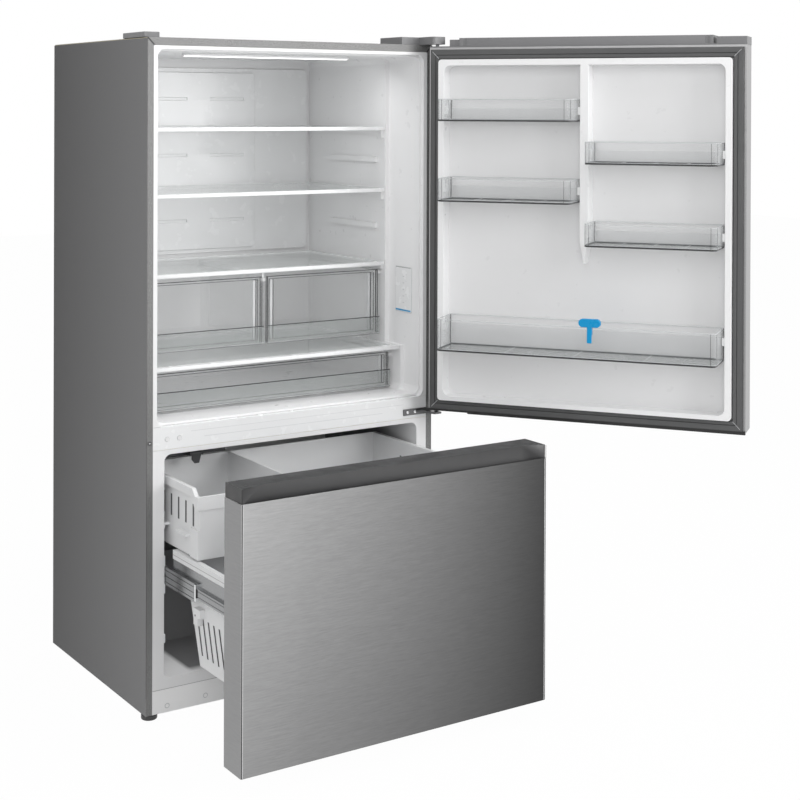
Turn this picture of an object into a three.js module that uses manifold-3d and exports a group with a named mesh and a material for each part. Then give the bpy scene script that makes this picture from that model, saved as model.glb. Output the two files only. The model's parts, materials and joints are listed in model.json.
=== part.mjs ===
// Bottom freezer refrigerator with its door and freezer drawer open.
// Millimetres, +Z up. The cabinet faces -Y, and the origin is the middle of the floor under the object.
import * as THREE from 'three';
import { mergeVertices } from 'three/addons/utils/BufferGeometryUtils.js';
import Module from 'manifold-3d';

const wasm = await Module();
wasm.setup();

// ---- How far things stand open in this pose ----
const DOOR_ANGLE = 126;
const DRAWER_OUT = 408;
const DRAWER_SLIDE_SHARE = 0.5;
const BASKET_OUT = 172;

// ---- Gaps and sheet ----
const SEAM = 0.3;
const SHEET = 1;
const WALL = 2;
const CLEAR = 2.5;
const OVERLAP = 1;

// ---- Case ----
const CASE_WIDTH = 840;
const CASE_DEPTH = 623;
const CASE_TOP = 1672;
const CASE_BOTTOM = 16;
const CASE_CORNER = 5;
const SIDE_FLANGE = 17;
const TOP_FLANGE = 19.5;
const FLANGE_THICKNESS = 1.5;
const KICK_TOP = 74;
const MULLION_BOTTOM = 661;
const MULLION_TOP = 718;
const MULLION_DEPTH = 30;

// ---- Fresh food compartment ----
const FRIDGE_SIDE_RIM = 11;
const FRIDGE_TOP_RIM = 8.5;
const MOUTH_DEPTH = 14;
const FRONT_ZONE_INSET = 5;
const REAR_ZONE_INSET = 17;
const FRIDGE_FLOOR_STEP = 6;
const FRIDGE_CEILING_STEP = 4;
const FRIDGE_BACK_WALL = 30;
const SHELF_ZONE_FRONT = 165;
const DELI_ZONE_FRONT = 85;
const LINER_CORNER = 18;

// ---- Shelves: height of each top face ----
const UPPER_SHELF_TOP = 1448;
const MIDDLE_SHELF_TOP = 1276;
const CRISPER_COVER_TOP = 1070;
const DELI_COVER_TOP = 846;
const SHELF_THICKNESS = 10;
const SHELF_BACK_GAP = 24;
const SHELF_RIM = 12;
const GLASS_THICKNESS = 4;
const GLASS_LEDGE = 6;
const RIB_DEPTH = 9;
const RIB_HEIGHT = 9;
const RIB_LENGTH = 240;
const BRACKET_SETBACK = 8;
const BRACKET_HEIGHT = 22;
const BRACKET_TAPER = 60;
const SPARE_RIB_HEIGHT = 15;
const SPARE_RIB_SETBACK = 42;
const UPPER_SPARE_RIB_DROP = 85;
const LOWER_SPARE_RIB_DROP = 99;

// ---- Clear drawers in the fresh food compartment ----
const TUB_WALL = 2.5;
const CRISPER_FRONT = 184;
const CRISPER_BOTTOM = 872;
const CRISPER_TOP = 1050;
const CRISPER_BACK_GAP = 53;
const CRISPER_LIP_TOP = 918;
const DELI_FRONT = 128;
const DELI_BOTTOM = 733;
const DELI_TOP = 826;
const DELI_BACK_GAP = 63;
const DELI_LIP_TOP = 778;
const TUB_SIDE_GAP = 17;
const TUB_RAIL = 12;
const TUB_FLANGE = 3;
const TUB_FLANGE_DROP = 3;
const TUB_FLANGE_SETBACK = 75;
const LIP_GAP = 9;
const LIP_THICKNESS = 3;
const HANGER_HALF = 3;
const HANGER_FOOT = 10;

// ---- Freezer compartment ----
const FREEZER_RIM = 31;
const FREEZER_FLOOR = 100;
const FREEZER_CEILING_STEP = 12;
const FREEZER_BACK_WALL = 63;
const HUMP_WALL = 42;
const HUMP_SLOPE = 63;
const HUMP_TOP = 318;
const EVAPORATOR_ROOM = 75;
const EVAPORATOR_COVER_THICKNESS = 4;

// ---- Machine compartment ----
const MACHINE_ROOM_DEPTH = 273;
const MACHINE_TOP = 272;
const TRAY_BOTTOM = 20;
const TRAY_THICKNESS = 1.5;
const FLANGE_WIDTH = 26;

// ---- Feet and rollers ----
const FOOT_RADIUS = 20;
const FOOT_PAD = 12;
const FOOT_STEM_RADIUS = 6;
const FOOT_STEM_TOP = 60;
const FOOT_INSET = 21;
const FOOT_Y = 26;
const ROLLER_RADIUS = 17;
const ROLLER_WIDTH = 20;
const ROLLER_INSET = 50;
const ROLLER_BACK_GAP = 63;
const ROLLER_PIN_RADIUS = 4;

// ---- Door ----
const DOOR_OUTER_Y = -92;
const DOOR_INNER_Y = -14;
const DOOR_BOTTOM = 690;
const DOOR_TOP_DROP = 9;
const SKIN_CORNER = 4;
const PAN_RETURN = 13;
const HINGE_INSET = 12;
const HINGE_Y = -42;
const HINGE_PIN_RADIUS = 4.9;
const PIN_CLEARANCE = 0.4;
const GASKET_INSET = 6;
const GASKET_WIDTH = 26;
const GASKET_FACE_Y = -1;
const LINER_INSET = 33;
const DOOR_RIM_WIDTH = 16;
const DOOR_RIM_Y = 12;
const RECESS_FLOOR_Y = -34;
const RECESS_BOTTOM_WIDTH = 12;
const DIVIDER_X = -11;
const DIVIDER_WIDTH = 22;
const DIVIDER_REACH = 52;
const DIVIDER_TAPER = 60;
const CAP_PLATE = 3;
const CAP_END_HEIGHT = 21;
const CAP_MIDDLE_HEIGHT = 25;
const CAP_HINGE_SPACE = 42;
const CAP_FAR_END = 75;
const CAP_NEAR_END = 29;
const CAP_NEAR_SETBACK = 6;
const CAP_GROOVE = 9;
const CAP_NOTCH = 10;
const CAP_NOTCH_DEPTH = 2.5;

// ---- Door bins: how far each front wall's top is below the door's, and its height ----
const SPICE_BIN = { drop: 138, height: 58 };
const JAR_BIN = { drop: 345, height: 61 };
const BOTTLE_BIN = { drop: 246, height: 57 };
const CAN_BIN = { drop: 453, height: 58 };
const GALLON_BIN_TOP = 950;
const GALLON_BIN_HEIGHT = 83;
const BIN_FRONT_Y = 92;
const BIN_BACK_GAP = 4;
const BIN_SIDE_GAP = 8;
const BIN_CORNER = 14;
const BIN_BACK_DROP = 24;
const HOOK_DEPTH = 5;
const HOOK_HEIGHT = 14;
const HOOK_DROP = 6;
const LUG_HEIGHT = 20;
const HOOK_HALF_WIDTH = 8;
const LUG_HALF_WIDTH = 10;
const CLIP_X = -47;
const CLIP_HEAD_WIDTH = 56;
const CLIP_HEAD_HEIGHT = 21;
const CLIP_STEM_WIDTH = 12;
const CLIP_STEM_LENGTH = 40;
const CLIP_PLATE = 5;

// ---- Hinges and covers on the case ----
const HINGE_PLATE = 3;
const ARM_HALF_WIDTH = 14;
const ARM_FRONT = 58;
const TOP_PIN_LENGTH = 22;
const COVER_HEIGHT = 20;
const COVER_WIDTH = 98;
const COVER_DEPTH = 108;
const COVER_ARM_HALF = 30;
const COVER_ARM_RIGHT = 12;
const COVER_ARM_FRONT = 66;
const COVER_ARM_CORNER = 8;
const LEFT_COVER_WIDTH = 64;
const LEFT_COVER_HEIGHT = 14;
const MIDDLE_PLATE_BOTTOM = 670;
const MIDDLE_PLATE_TOP = 687;
const MIDDLE_PLATE_WIDTH = 75;
const MIDDLE_ARM_BOTTOM = 677;
const MIDDLE_ARM_THICKNESS = 5;
const MIDDLE_PIN_TOP = 706;

// ---- Freezer drawer ----
const DRAWER_OUTER_Y = -92;
const DRAWER_INNER_Y = -10;
const DRAWER_BOTTOM = 45;
const DRAWER_STEEL_TOP = 641;
const DRAWER_TOP = 674;
const HANDLE_DEPTH = 22;
const HANDLE_LIP = 3;
const HANDLE_DROP = 12;
const HANDLE_SET_BACK = 2;
const HANDLE_END = 3;
const HANDLE_TAPER = 55;
const PANEL_CLEARANCE = 6;
const PANEL_RIM_Y = 10;
const DRAWER_GASKET_INSET = 17;
const DRAWER_GASKET_WIDTH = 23;
const DRAWER_GASKET_BOTTOM = 78;
const DRAWER_GASKET_TOP = 668;

// ---- Slides ----
const SLIDE_BOTTOM = 327;
const SLIDE_TOP = 379;
const SLIDE_BACK_GAP = 30;
const MIDDLE_SLIDE_FRONT = 40;
const MIDDLE_SLIDE_BACK_GAP = 45;
const INNER_SLIDE_BACK_GAP = 55;
const SLIDE_GAUGE = 1.6;
const SLIDE_DEPTH = 9;
const SLIDE_STEP = 2;
const INNER_BAR_HEIGHT = 24;
const SLIDE_GAP = 0.5;

// ---- Freezer baskets ----
const BASKET_WALL = 3;
const LOWER_BASKET_BOTTOM = 175;
const LOWER_BASKET_TOP = 422;
const LOWER_RIM_HEIGHT = 22;
const LOWER_RIM_WIDTH = 11;
const LOWER_BASKET_SIDE_GAP = 21;
const LOWER_FLOOR_GAP = 5;
const LOWER_BEND_Z = 340;
const LOWER_SHOULDER_Z = 396;
const LOWER_SHOULDER_LENGTH = 72;
const BASKET_FRONT_GAP = 2;
const UPPER_BASKET_BOTTOM = 425;
const UPPER_BASKET_TOP = 592;
const UPPER_BASKET_FRONT_TOP = 576;
const UPPER_BASKET_SIDE_GAP = 20;
const UPPER_BASKET_BACK_GAP = 127;
const UPPER_RIM_HEIGHT = 20;
const UPPER_RIM_WIDTH = 8;
const UPPER_BAND_BOTTOM = 543;
const UPPER_BAND_PROUD = 4;
const UPPER_BAND_STEP = 31;
const CORNER_BLOCK_LENGTH = 48;
const CORNER_BLOCK_TOP = 495;
const CORNER_BLOCK_PROUD = 5;
const ICE_DIVIDER_X = -104;
const BASKET_RAIL_TOP = 473;
const BASKET_RAIL_HEIGHT = 8;
const BASKET_RAIL_DEPTH = 9;
const BASKET_FLANGE = 6;
const LEDGE_LENGTH = 54;
const UPPER_SLOTS = { count: 5, width: 8, pitch: 41, bottom: 499, top: 552, lean: 0 };
const UPPER_SLOT_GAP = 35;
const LOWER_SLOTS = { count: 6, width: 7, pitch: 28.5, bottom: 203, top: 290, lean: 27 };
const LOWER_SLOT_GAP = 16;
const HOOK_BLOCK_BOTTOM = 275;
const HOOK_BLOCK_TOP = 315;
const HOOK_BLOCK_LENGTH = 33;
const HOOK_BLOCK_WIDTH = 14;
const HOOK_BLOCK_GAP = 25;

// ---- Ice maker and its level arm ----
const ICE_MAKER_SIDE_GAP = 28;
const ICE_MAKER_RIGHT = -134;
const ICE_MAKER_FRONT = 140;
const ICE_MAKER_BACK_GAP = 125;
const ICE_MAKER_BOTTOM = 606;
const ICE_TRAY_WALL = 20;
const ICE_TRAY_DEPTH = 22;
const ARM_X = -229;
const ARM_WIDTH = 28;
const ARM_PIVOT_GAP = 20;
const ARM_PIVOT_Z = 614;
const ARM_LENGTH = 25;
const ARM_SHEET = 2;
const ARM_PIN_RADIUS = 2.5;
const EAR_THICKNESS = 4;

// ---- Fans, coils, compressor ----
const FAN_BLADES = 5;
const CONDENSER_FAN_RADIUS = 62;
const EVAPORATOR_FAN_RADIUS = 40;
const FAN_HUB_RADIUS = 15;
const FAN_WIDTH = 20;
const FAN_SHAFT_RADIUS = 3;
const FIN_COUNT = 6;
const FIN_THICKNESS = 2;
const COMPRESSOR_RADIUS = 72;
const COMPRESSOR_HEIGHT = 170;
const COMPRESSOR_X = 190;
const FEET_GAP = 6;
const MACHINE_BACK_GAP = 138;
const CONDENSER_X = -230;
const CONDENSER_HALF = 90;
const CONDENSER_HEIGHT = 150;
const CONDENSER_DEPTH = 70;
const CONDENSER_ROWS = 4;
const CONDENSER_SETBACK = 20;
const CONDENSER_FAN_SETBACK = 55;
const EVAPORATOR_HALF = 230;
const EVAPORATOR_HEIGHT = 150;
const EVAPORATOR_DEPTH = 50;
const EVAPORATOR_ROWS = 3;
const EVAPORATOR_LIFT = 40;
const COIL_TUBE_RADIUS = 4;
const MOTOR_STRAP = 2;
const MOTOR_STRAP_HALF_HEIGHT = 8;
const GRILLE_HALF = 36;
const GRILLE_ROWS = 7;
const GRILLE_PITCH = 10;
const GRILLE_HEIGHT = 5;

// ---- Fittings in the fresh food compartment ----
const BACK_PLATE_SIDE_GAP = 10;
const BACK_PLATE_THICKNESS = 6;
const BACK_PLATE_TOP_GAP = 26;
const DUCT_HALF = 183;
const DUCT_THICKNESS = 12;
const DUCT_BOTTOM = 1090;
const DUCT_TOP_GAP = 39;
const DUCT_VENT_WIDTH = 110;
const DUCT_VENT_HEIGHT = 8;
const LIGHT_HALF = 245;
const LIGHT_Y = 163;
const LIGHT_WIDTH = 26;
const LIGHT_THICKNESS = 8;
const PANEL_Y = 87;
const PANEL_WIDTH = 78;
const PANEL_BOTTOM = 938;
const PANEL_HEIGHT = 123;
const PANEL_THICKNESS = 2;

// ---- Rear covers ----
const MACHINE_COVER_THICKNESS = 2;
const VENT_ROWS = 4;
const VENT_COLUMNS = 5;
const VENT_WIDTH = 90;
const VENT_HEIGHT = 6;

// ---- Worked out from the driving dimensions ----
const HALF = CASE_WIDTH / 2;
const FRIDGE_BACK = CASE_DEPTH - FRIDGE_BACK_WALL;
const FREEZER_BACK = CASE_DEPTH - FREEZER_BACK_WALL;
const EVAPORATOR_COVER_Y = FREEZER_BACK - EVAPORATOR_ROOM;
const ICE_MAKER_BACK = EVAPORATOR_COVER_Y - ICE_MAKER_BACK_GAP;
const MACHINE_FRONT = CASE_DEPTH - MACHINE_ROOM_DEPTH;
const MACHINE_Y = CASE_DEPTH - MACHINE_BACK_GAP;
const ROLLER_Y = CASE_DEPTH - ROLLER_BACK_GAP;
const HUMP_TOP_Y = MACHINE_FRONT - HUMP_WALL;
const HUMP_FOOT_Y = HUMP_TOP_Y - HUMP_SLOPE;
const DOOR_TOP = CASE_TOP - DOOR_TOP_DROP;
const HINGE_X = HALF - HINGE_INSET;
const CRISPER_LENGTH = FRIDGE_BACK - CRISPER_BACK_GAP - CRISPER_FRONT;
const DELI_LENGTH = FRIDGE_BACK - DELI_BACK_GAP - DELI_FRONT;
const CASE_INNER_HALF = HALF - SHEET;
const FLANGE_INNER_HALF = HALF - SIDE_FLANGE;
const FRIDGE_HALF = FLANGE_INNER_HALF - FRIDGE_SIDE_RIM;
const FRIDGE_TOP = CASE_TOP - TOP_FLANGE - FRIDGE_TOP_RIM;
const FRONT_ZONE_HALF = FRIDGE_HALF - FRONT_ZONE_INSET;
const REAR_ZONE_HALF = FRIDGE_HALF - REAR_ZONE_INSET;
const FRIDGE_FLOOR = MULLION_TOP + FRIDGE_FLOOR_STEP;
const FRIDGE_CEILING = FRIDGE_TOP - FRIDGE_CEILING_STEP;
const SHELF_HALF = REAR_ZONE_HALF - CLEAR / 2;
const SHELF_BACK = FRIDGE_BACK - SHELF_BACK_GAP;
const FREEZER_HALF = FLANGE_INNER_HALF - FREEZER_RIM;
const FREEZER_TOP = MULLION_BOTTOM - FREEZER_CEILING_STEP;
const TUB_HALF = REAR_ZONE_HALF - TUB_SIDE_GAP;
const CRISPER_RAIL_TOP = CRISPER_TOP - TUB_FLANGE_DROP - TUB_FLANGE - SEAM;
const DELI_RAIL_TOP = DELI_TOP - TUB_FLANGE_DROP - TUB_FLANGE - SEAM;
const FOOT_X = HALF - FOOT_INSET;
const ROLLER_X = HALF - ROLLER_INSET;
const CAP_BOTTOM = DOOR_TOP + SEAM;
const RECESS_HALF = HALF - LINER_INSET - DOOR_RIM_WIDTH;
const RECESS_BOTTOM = DOOR_BOTTOM + LINER_INSET + RECESS_BOTTOM_WIDTH;
const RECESS_TOP = DOOR_TOP - LINER_INSET - DOOR_RIM_WIDTH;
const HINGE_CASE_Z = CASE_TOP + SEAM;
const BASKET_FRONT = PANEL_RIM_Y + BASKET_FRONT_GAP;
const LOWER_BASKET_HALF = FREEZER_HALF - LOWER_BASKET_SIDE_GAP;
const LOWER_FLOOR_BACK = HUMP_FOOT_Y + LOWER_FLOOR_GAP;
const LOWER_BEND_Y = HUMP_TOP_Y + WALL;
const LOWER_BASKET_BACK = HUMP_TOP_Y + LOWER_SHOULDER_LENGTH;
const UPPER_BASKET_HALF = FREEZER_HALF - UPPER_BASKET_SIDE_GAP;
const UPPER_BASKET_BACK = EVAPORATOR_COVER_Y - UPPER_BASKET_BACK_GAP;
const ICE_MAKER_LEFT = ICE_MAKER_SIDE_GAP - FREEZER_HALF;
const ARM_PIVOT_Y = ICE_MAKER_FRONT - ARM_PIVOT_GAP;
const SLIDE_FRONT = PANEL_RIM_Y + CLEAR;
const SLIDE_BACK = EVAPORATOR_COVER_Y - SLIDE_BACK_GAP;
const MIDDLE_SLIDE_BACK = EVAPORATOR_COVER_Y - MIDDLE_SLIDE_BACK_GAP;
const INNER_SLIDE_BACK = EVAPORATOR_COVER_Y - INNER_SLIDE_BACK_GAP;
const DUCT_TOP = FRIDGE_CEILING - DUCT_TOP_GAP;
const FOAM_CORNER = SKIN_CORNER - SHEET;

// ---- Materials ----
function finish(color, roughness, metalness, opacity = 1) {
  return new THREE.MeshStandardMaterial({ color, roughness, metalness, opacity, transparent: opacity < 1 });
}
const steel = finish(0x9a9b9c, 0.35, 0.9);
const casePaint = finish(0x5d5e60, 0.5, 0.3);
const white = finish(0xe9eaea, 0.45, 0);
const foam = finish(0xe6dcae, 0.9, 0);
const clear = finish(0xd9dee0, 0.1, 0, 0.35);
const glass = finish(0xdfe8e6, 0.05, 0, 0.35);
const darkPlastic = finish(0x4a4a4b, 0.5, 0);
const greyPlastic = finish(0x7f8081, 0.5, 0);
const rubber = finish(0x6f7071, 0.8, 0);
const black = finish(0x1c1c1d, 0.6, 0);
const zinc = finish(0xb4b7ba, 0.3, 0.9);
const aluminium = finish(0xc9cccf, 0.4, 0.9);
const blue = finish(0x1c9cdc, 0.4, 0);
const lamp = finish(0xffffff, 0.3, 0);

// ---- Solids ----
function solid(source) {
  const geometry = source.clone();
  geometry.deleteAttribute('normal');
  geometry.deleteAttribute('uv');
  const merged = mergeVertices(geometry, 1e-4);
  const vertProperties = new Float32Array(merged.attributes.position.array);
  const triVerts = new Uint32Array(merged.index.array);
  return new wasm.Manifold(new wasm.Mesh({ numProp: 3, vertProperties, triVerts }));
}

function box(x0, x1, y0, y1, z0, z1) {
  const geometry = new THREE.BoxGeometry(x1 - x0, y1 - y0, z1 - z0);
  geometry.translate((x0 + x1) / 2, (y0 + y1) / 2, (z0 + z1) / 2);
  return solid(geometry);
}

function union(...solids) {
  return solids.reduce((sum, next) => sum.add(next));
}

function cut(from, ...solids) {
  return solids.reduce((rest, next) => rest.subtract(next), from);
}

// The same solid with left and right swapped, its corners turned round to face out again.
function mirrored(source) {
  const { numProp, vertProperties, triVerts } = source.getMesh();
  const points = vertProperties.map((value, place) => (place % numProp ? value : -value));
  const corners = triVerts.map((corner, place) => triVerts[place - (place % 3) + 2 - (place % 3)]);
  return new wasm.Manifold(new wasm.Mesh({ numProp, vertProperties: points, triVerts: corners }));
}

function outline(points) {
  return new THREE.Shape(points.map(([x, y]) => new THREE.Vector2(x, y)));
}

// A rectangle with rounded corners; radii run from the low-low corner anticlockwise.
function rounded(x0, x1, y0, y1, radii) {
  const [a, b, c, d] = Array.isArray(radii) ? radii : [radii, radii, radii, radii];
  const shape = new THREE.Shape();
  shape.moveTo(x0 + a, y0);
  shape.lineTo(x1 - b, y0);
  if (b) shape.absarc(x1 - b, y0 + b, b, -Math.PI / 2, 0);
  shape.lineTo(x1, y1 - c);
  if (c) shape.absarc(x1 - c, y1 - c, c, 0, Math.PI / 2);
  shape.lineTo(x0 + d, y1);
  if (d) shape.absarc(x0 + d, y1 - d, d, Math.PI / 2, Math.PI);
  shape.lineTo(x0, y0 + a);
  if (a) shape.absarc(x0 + a, y0 + a, a, Math.PI, Math.PI * 1.5);
  return shape;
}

function extruded(shape, depth, curveSegments) {
  return new THREE.ExtrudeGeometry(shape, { depth, bevelEnabled: false, curveSegments });
}

function alongZ(shape, z0, z1, curveSegments = 4) {
  const geometry = extruded(shape, z1 - z0, curveSegments);
  geometry.translate(0, 0, z0);
  return solid(geometry);
}

// The shape is drawn in X and Z.
function alongY(shape, y0, y1, curveSegments = 4) {
  const geometry = extruded(shape, y1 - y0, curveSegments);
  geometry.rotateX(Math.PI / 2);
  geometry.translate(0, y1, 0);
  return solid(geometry);
}

// The shape is drawn in Y and Z.
function alongX(shape, x0, x1, curveSegments = 4) {
  const geometry = extruded(shape, x1 - x0, curveSegments);
  const turn = new THREE.Matrix4().makeBasis(
    new THREE.Vector3(0, 1, 0),
    new THREE.Vector3(0, 0, 1),
    new THREE.Vector3(1, 0, 0),
  );
  geometry.applyMatrix4(turn);
  geometry.translate(x0, 0, 0);
  return solid(geometry);
}

// A cylinder about the given axis, from low to high along it.
function rod(axis, radius, low, high, a, b, sides = 16) {
  const geometry = new THREE.CylinderGeometry(radius, radius, high - low, sides);
  const middle = (low + high) / 2;
  if (axis === 'x') {
    geometry.rotateZ(Math.PI / 2);
    geometry.translate(middle, a, b);
  } else if (axis === 'y') {
    geometry.translate(a, middle, b);
  } else {
    geometry.rotateX(Math.PI / 2);
    geometry.translate(a, b, middle);
  }
  return solid(geometry);
}

function turned(profile, x, y, sides = 16) {
  const points = profile.map(([radius, z]) => new THREE.Vector2(radius, z));
  const geometry = new THREE.LatheGeometry(points, sides);
  geometry.rotateX(Math.PI / 2);
  geometry.translate(x, y, 0);
  return solid(geometry);
}

function part(parent, name, source, material) {
  const mesh = source.getMesh();
  const geometry = new THREE.BufferGeometry();
  const positions = new Float32Array(mesh.vertProperties);
  geometry.setAttribute('position', new THREE.BufferAttribute(positions, 3));
  geometry.setIndex(new THREE.BufferAttribute(new Uint32Array(mesh.triVerts), 1));
  geometry.computeVertexNormals();
  const piece = new THREE.Mesh(geometry, material);
  piece.name = name;
  parent.add(piece);
  return piece;
}

// ---- Groups: the cabinet, and what moves on it ----
const refrigerator = new THREE.Group();
const cabinet = new THREE.Group();
refrigerator.add(cabinet);

const doorHinge = new THREE.Group();
doorHinge.position.set(HINGE_X, HINGE_Y, 0);
doorHinge.rotation.z = THREE.MathUtils.degToRad(DOOR_ANGLE);
cabinet.add(doorHinge);
const door = new THREE.Group();
door.position.set(-HINGE_X, -HINGE_Y, 0);
doorHinge.add(door);

const drawer = new THREE.Group();
drawer.position.y = -DRAWER_OUT;
cabinet.add(drawer);
const middleSlides = new THREE.Group();
middleSlides.position.y = -DRAWER_OUT * DRAWER_SLIDE_SHARE;
cabinet.add(middleSlides);
const upperBasketGroup = new THREE.Group();
upperBasketGroup.position.y = -BASKET_OUT;
cabinet.add(upperBasketGroup);

// ---- The two compartments, grown by a margin all round ----
function fridgeSpace(margin) {
  const inFront = -1;
  const corner = LINER_CORNER + margin;
  const mouth = rounded(
    -FRIDGE_HALF - margin, FRIDGE_HALF + margin, MULLION_TOP - margin, FRIDGE_TOP + margin, corner,
  );
  const frontZone = rounded(
    -FRONT_ZONE_HALF - margin, FRONT_ZONE_HALF + margin,
    FRIDGE_FLOOR - margin, FRIDGE_CEILING + margin, corner,
  );
  const shelfZone = rounded(
    -FRONT_ZONE_HALF - margin, FRONT_ZONE_HALF + margin,
    DELI_COVER_TOP - margin, FRIDGE_CEILING + margin, [0, 0, corner, corner],
  );
  const rearZone = rounded(
    -REAR_ZONE_HALF - margin, REAR_ZONE_HALF + margin,
    FRIDGE_FLOOR - margin, FRIDGE_CEILING + margin, corner,
  );
  return union(
    alongY(mouth, inFront, MOUTH_DEPTH + margin),
    alongY(frontZone, inFront, DELI_ZONE_FRONT + margin),
    alongY(shelfZone, inFront, SHELF_ZONE_FRONT + margin),
    alongY(rearZone, inFront, FRIDGE_BACK + margin),
  );
}

function freezerSpace(margin) {
  const inFront = -1;
  const side = outline([
    [inFront, FREEZER_FLOOR - margin],
    [HUMP_FOOT_Y + margin, FREEZER_FLOOR - margin],
    [HUMP_TOP_Y + margin, HUMP_TOP - margin],
    [FREEZER_BACK + margin, HUMP_TOP - margin],
    [FREEZER_BACK + margin, FREEZER_TOP + margin],
    [inFront, FREEZER_TOP + margin],
  ]);
  const half = FREEZER_HALF + margin;
  const front = rounded(
    -half, half, FREEZER_FLOOR - margin, FREEZER_TOP + margin, LINER_CORNER + margin,
  );
  return alongX(side, -half, half).intersect(alongY(front, inFront, FREEZER_BACK + margin));
}

// ---- Case, insulation and liners ----
function makeCase() {
  const wrap = cut(
    alongY(
      rounded(-HALF, HALF, CASE_BOTTOM, CASE_TOP, [0, 0, CASE_CORNER, CASE_CORNER]), 0, CASE_DEPTH, 3,
    ),
    box(
      -CASE_INNER_HALF, CASE_INNER_HALF, -OVERLAP, CASE_DEPTH + OVERLAP,
      CASE_BOTTOM - OVERLAP, CASE_TOP - SHEET,
    ),
  );
  const flange = cut(
    alongY(
      rounded(-HALF, HALF, CASE_BOTTOM, CASE_TOP, [0, 0, CASE_CORNER, CASE_CORNER]), 0, FLANGE_THICKNESS, 3,
    ),
    box(
      -FLANGE_INNER_HALF, FLANGE_INNER_HALF, -OVERLAP, CASE_DEPTH,
      CASE_BOTTOM - OVERLAP, CASE_TOP - TOP_FLANGE,
    ),
  );
  part(cabinet, 'outer_case', union(wrap, flange), casePaint);

  const inner = CASE_INNER_HALF - SEAM;
  const rear = box(
    -inner, inner, CASE_DEPTH - SHEET, CASE_DEPTH, MACHINE_TOP + TRAY_THICKNESS, CASE_TOP - SHEET - SEAM,
  );
  part(cabinet, 'rear_panel', rear, casePaint);
}

function makeInsulation() {
  const inner = CASE_INNER_HALF - SEAM;
  const back = CASE_DEPTH - SHEET - SEAM;
  const block = outline([
    [WALL + SEAM, KICK_TOP + SEAM],
    [MACHINE_FRONT - SEAM, KICK_TOP + SEAM],
    [MACHINE_FRONT - SEAM, MACHINE_TOP + TRAY_THICKNESS + SEAM],
    [back, MACHINE_TOP + TRAY_THICKNESS + SEAM],
    [back, CASE_TOP - SHEET - SEAM],
    [WALL + SEAM, CASE_TOP - SHEET - SEAM],
  ]);
  const filling = cut(
    alongX(block, -inner, inner),
    fridgeSpace(WALL + SEAM),
    freezerSpace(WALL + SEAM),
    box(
      -FLANGE_INNER_HALF, FLANGE_INNER_HALF, 0, MULLION_DEPTH + SEAM, MULLION_BOTTOM, MULLION_TOP + SEAM,
    ),
  );
  part(cabinet, 'cabinet_insulation', filling, foam);
}

// Ribs on the side walls carry the shelves; spare ones let a shelf be moved.
function shelfRibs() {
  const inside = REAR_ZONE_HALF - RIB_DEPTH;
  const outside = REAR_ZONE_HALF + WALL / 2;
  const rib = (front, top, height) => box(inside, outside, front, front + RIB_LENGTH, top - height, top);
  const bracket = (shelfTop) => {
    const top = shelfTop - SHELF_THICKNESS - SEAM;
    const front = SHELF_ZONE_FRONT + BRACKET_SETBACK;
    const side = outline([
      [front, top - BRACKET_HEIGHT], [front + BRACKET_TAPER, top - RIB_HEIGHT],
      [front + RIB_LENGTH, top - RIB_HEIGHT], [front + RIB_LENGTH, top], [front, top],
    ]);
    return alongX(side, inside, outside);
  };
  const coverFront = SHELF_ZONE_FRONT + BRACKET_SETBACK;
  const spareFront = SHELF_ZONE_FRONT + SPARE_RIB_SETBACK;
  const tubRail = (front, length, top) => box(
    REAR_ZONE_HALF - TUB_RAIL, outside, front + CLEAR, front + length, top - RIB_HEIGHT, top,
  );
  return union(
    bracket(UPPER_SHELF_TOP),
    bracket(MIDDLE_SHELF_TOP),
    rib(coverFront, CRISPER_COVER_TOP - SHELF_THICKNESS - SEAM, RIB_HEIGHT),
    rib(coverFront, DELI_COVER_TOP - SHELF_THICKNESS - SEAM, RIB_HEIGHT),
    rib(spareFront, UPPER_SHELF_TOP - UPPER_SPARE_RIB_DROP, SPARE_RIB_HEIGHT),
    rib(spareFront, MIDDLE_SHELF_TOP - LOWER_SPARE_RIB_DROP, SPARE_RIB_HEIGHT),
    tubRail(CRISPER_FRONT, CRISPER_LENGTH, CRISPER_RAIL_TOP),
    tubRail(DELI_FRONT, DELI_LENGTH, DELI_RAIL_TOP),
  );
}

function makeLiners() {
  const half = FLANGE_INNER_HALF - SEAM;
  const fridgeRim = box(
    -half, half, 0, WALL, MULLION_TOP + SEAM, CASE_TOP - TOP_FLANGE - SEAM,
  );
  const ribs = shelfRibs();
  const floorRoom = box(
    -half, half, -2, MOUTH_DEPTH + WALL + SEAM, 0, MULLION_TOP + SEAM,
  );
  const fridge = cut(
    union(
      fridgeRim,
      cut(fridgeSpace(WALL), box(-CASE_WIDTH, CASE_WIDTH, -CASE_DEPTH, 0, 0, CASE_TOP)),
    ),
    fridgeSpace(0),
    floorRoom,
  );
  part(cabinet, 'fridge_liner', union(fridge, ribs, mirrored(ribs)), white);

  const freezerRim = box(-half, half, 0, WALL, KICK_TOP + SEAM, MULLION_BOTTOM - SEAM);
  const freezer = cut(
    union(
      freezerRim,
      cut(freezerSpace(WALL), box(-CASE_WIDTH, CASE_WIDTH, -CASE_DEPTH, 0, 0, CASE_TOP)),
    ),
    freezerSpace(0),
  );
  const rail = box(
    FREEZER_HALF - BASKET_RAIL_DEPTH, FREEZER_HALF + WALL / 2,
    BASKET_FRONT + CLEAR, EVAPORATOR_COVER_Y - CLEAR,
    BASKET_RAIL_TOP - BASKET_RAIL_HEIGHT, BASKET_RAIL_TOP,
  );
  part(cabinet, 'freezer_liner', union(freezer, rail, mirrored(rail)), white);
}

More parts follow.
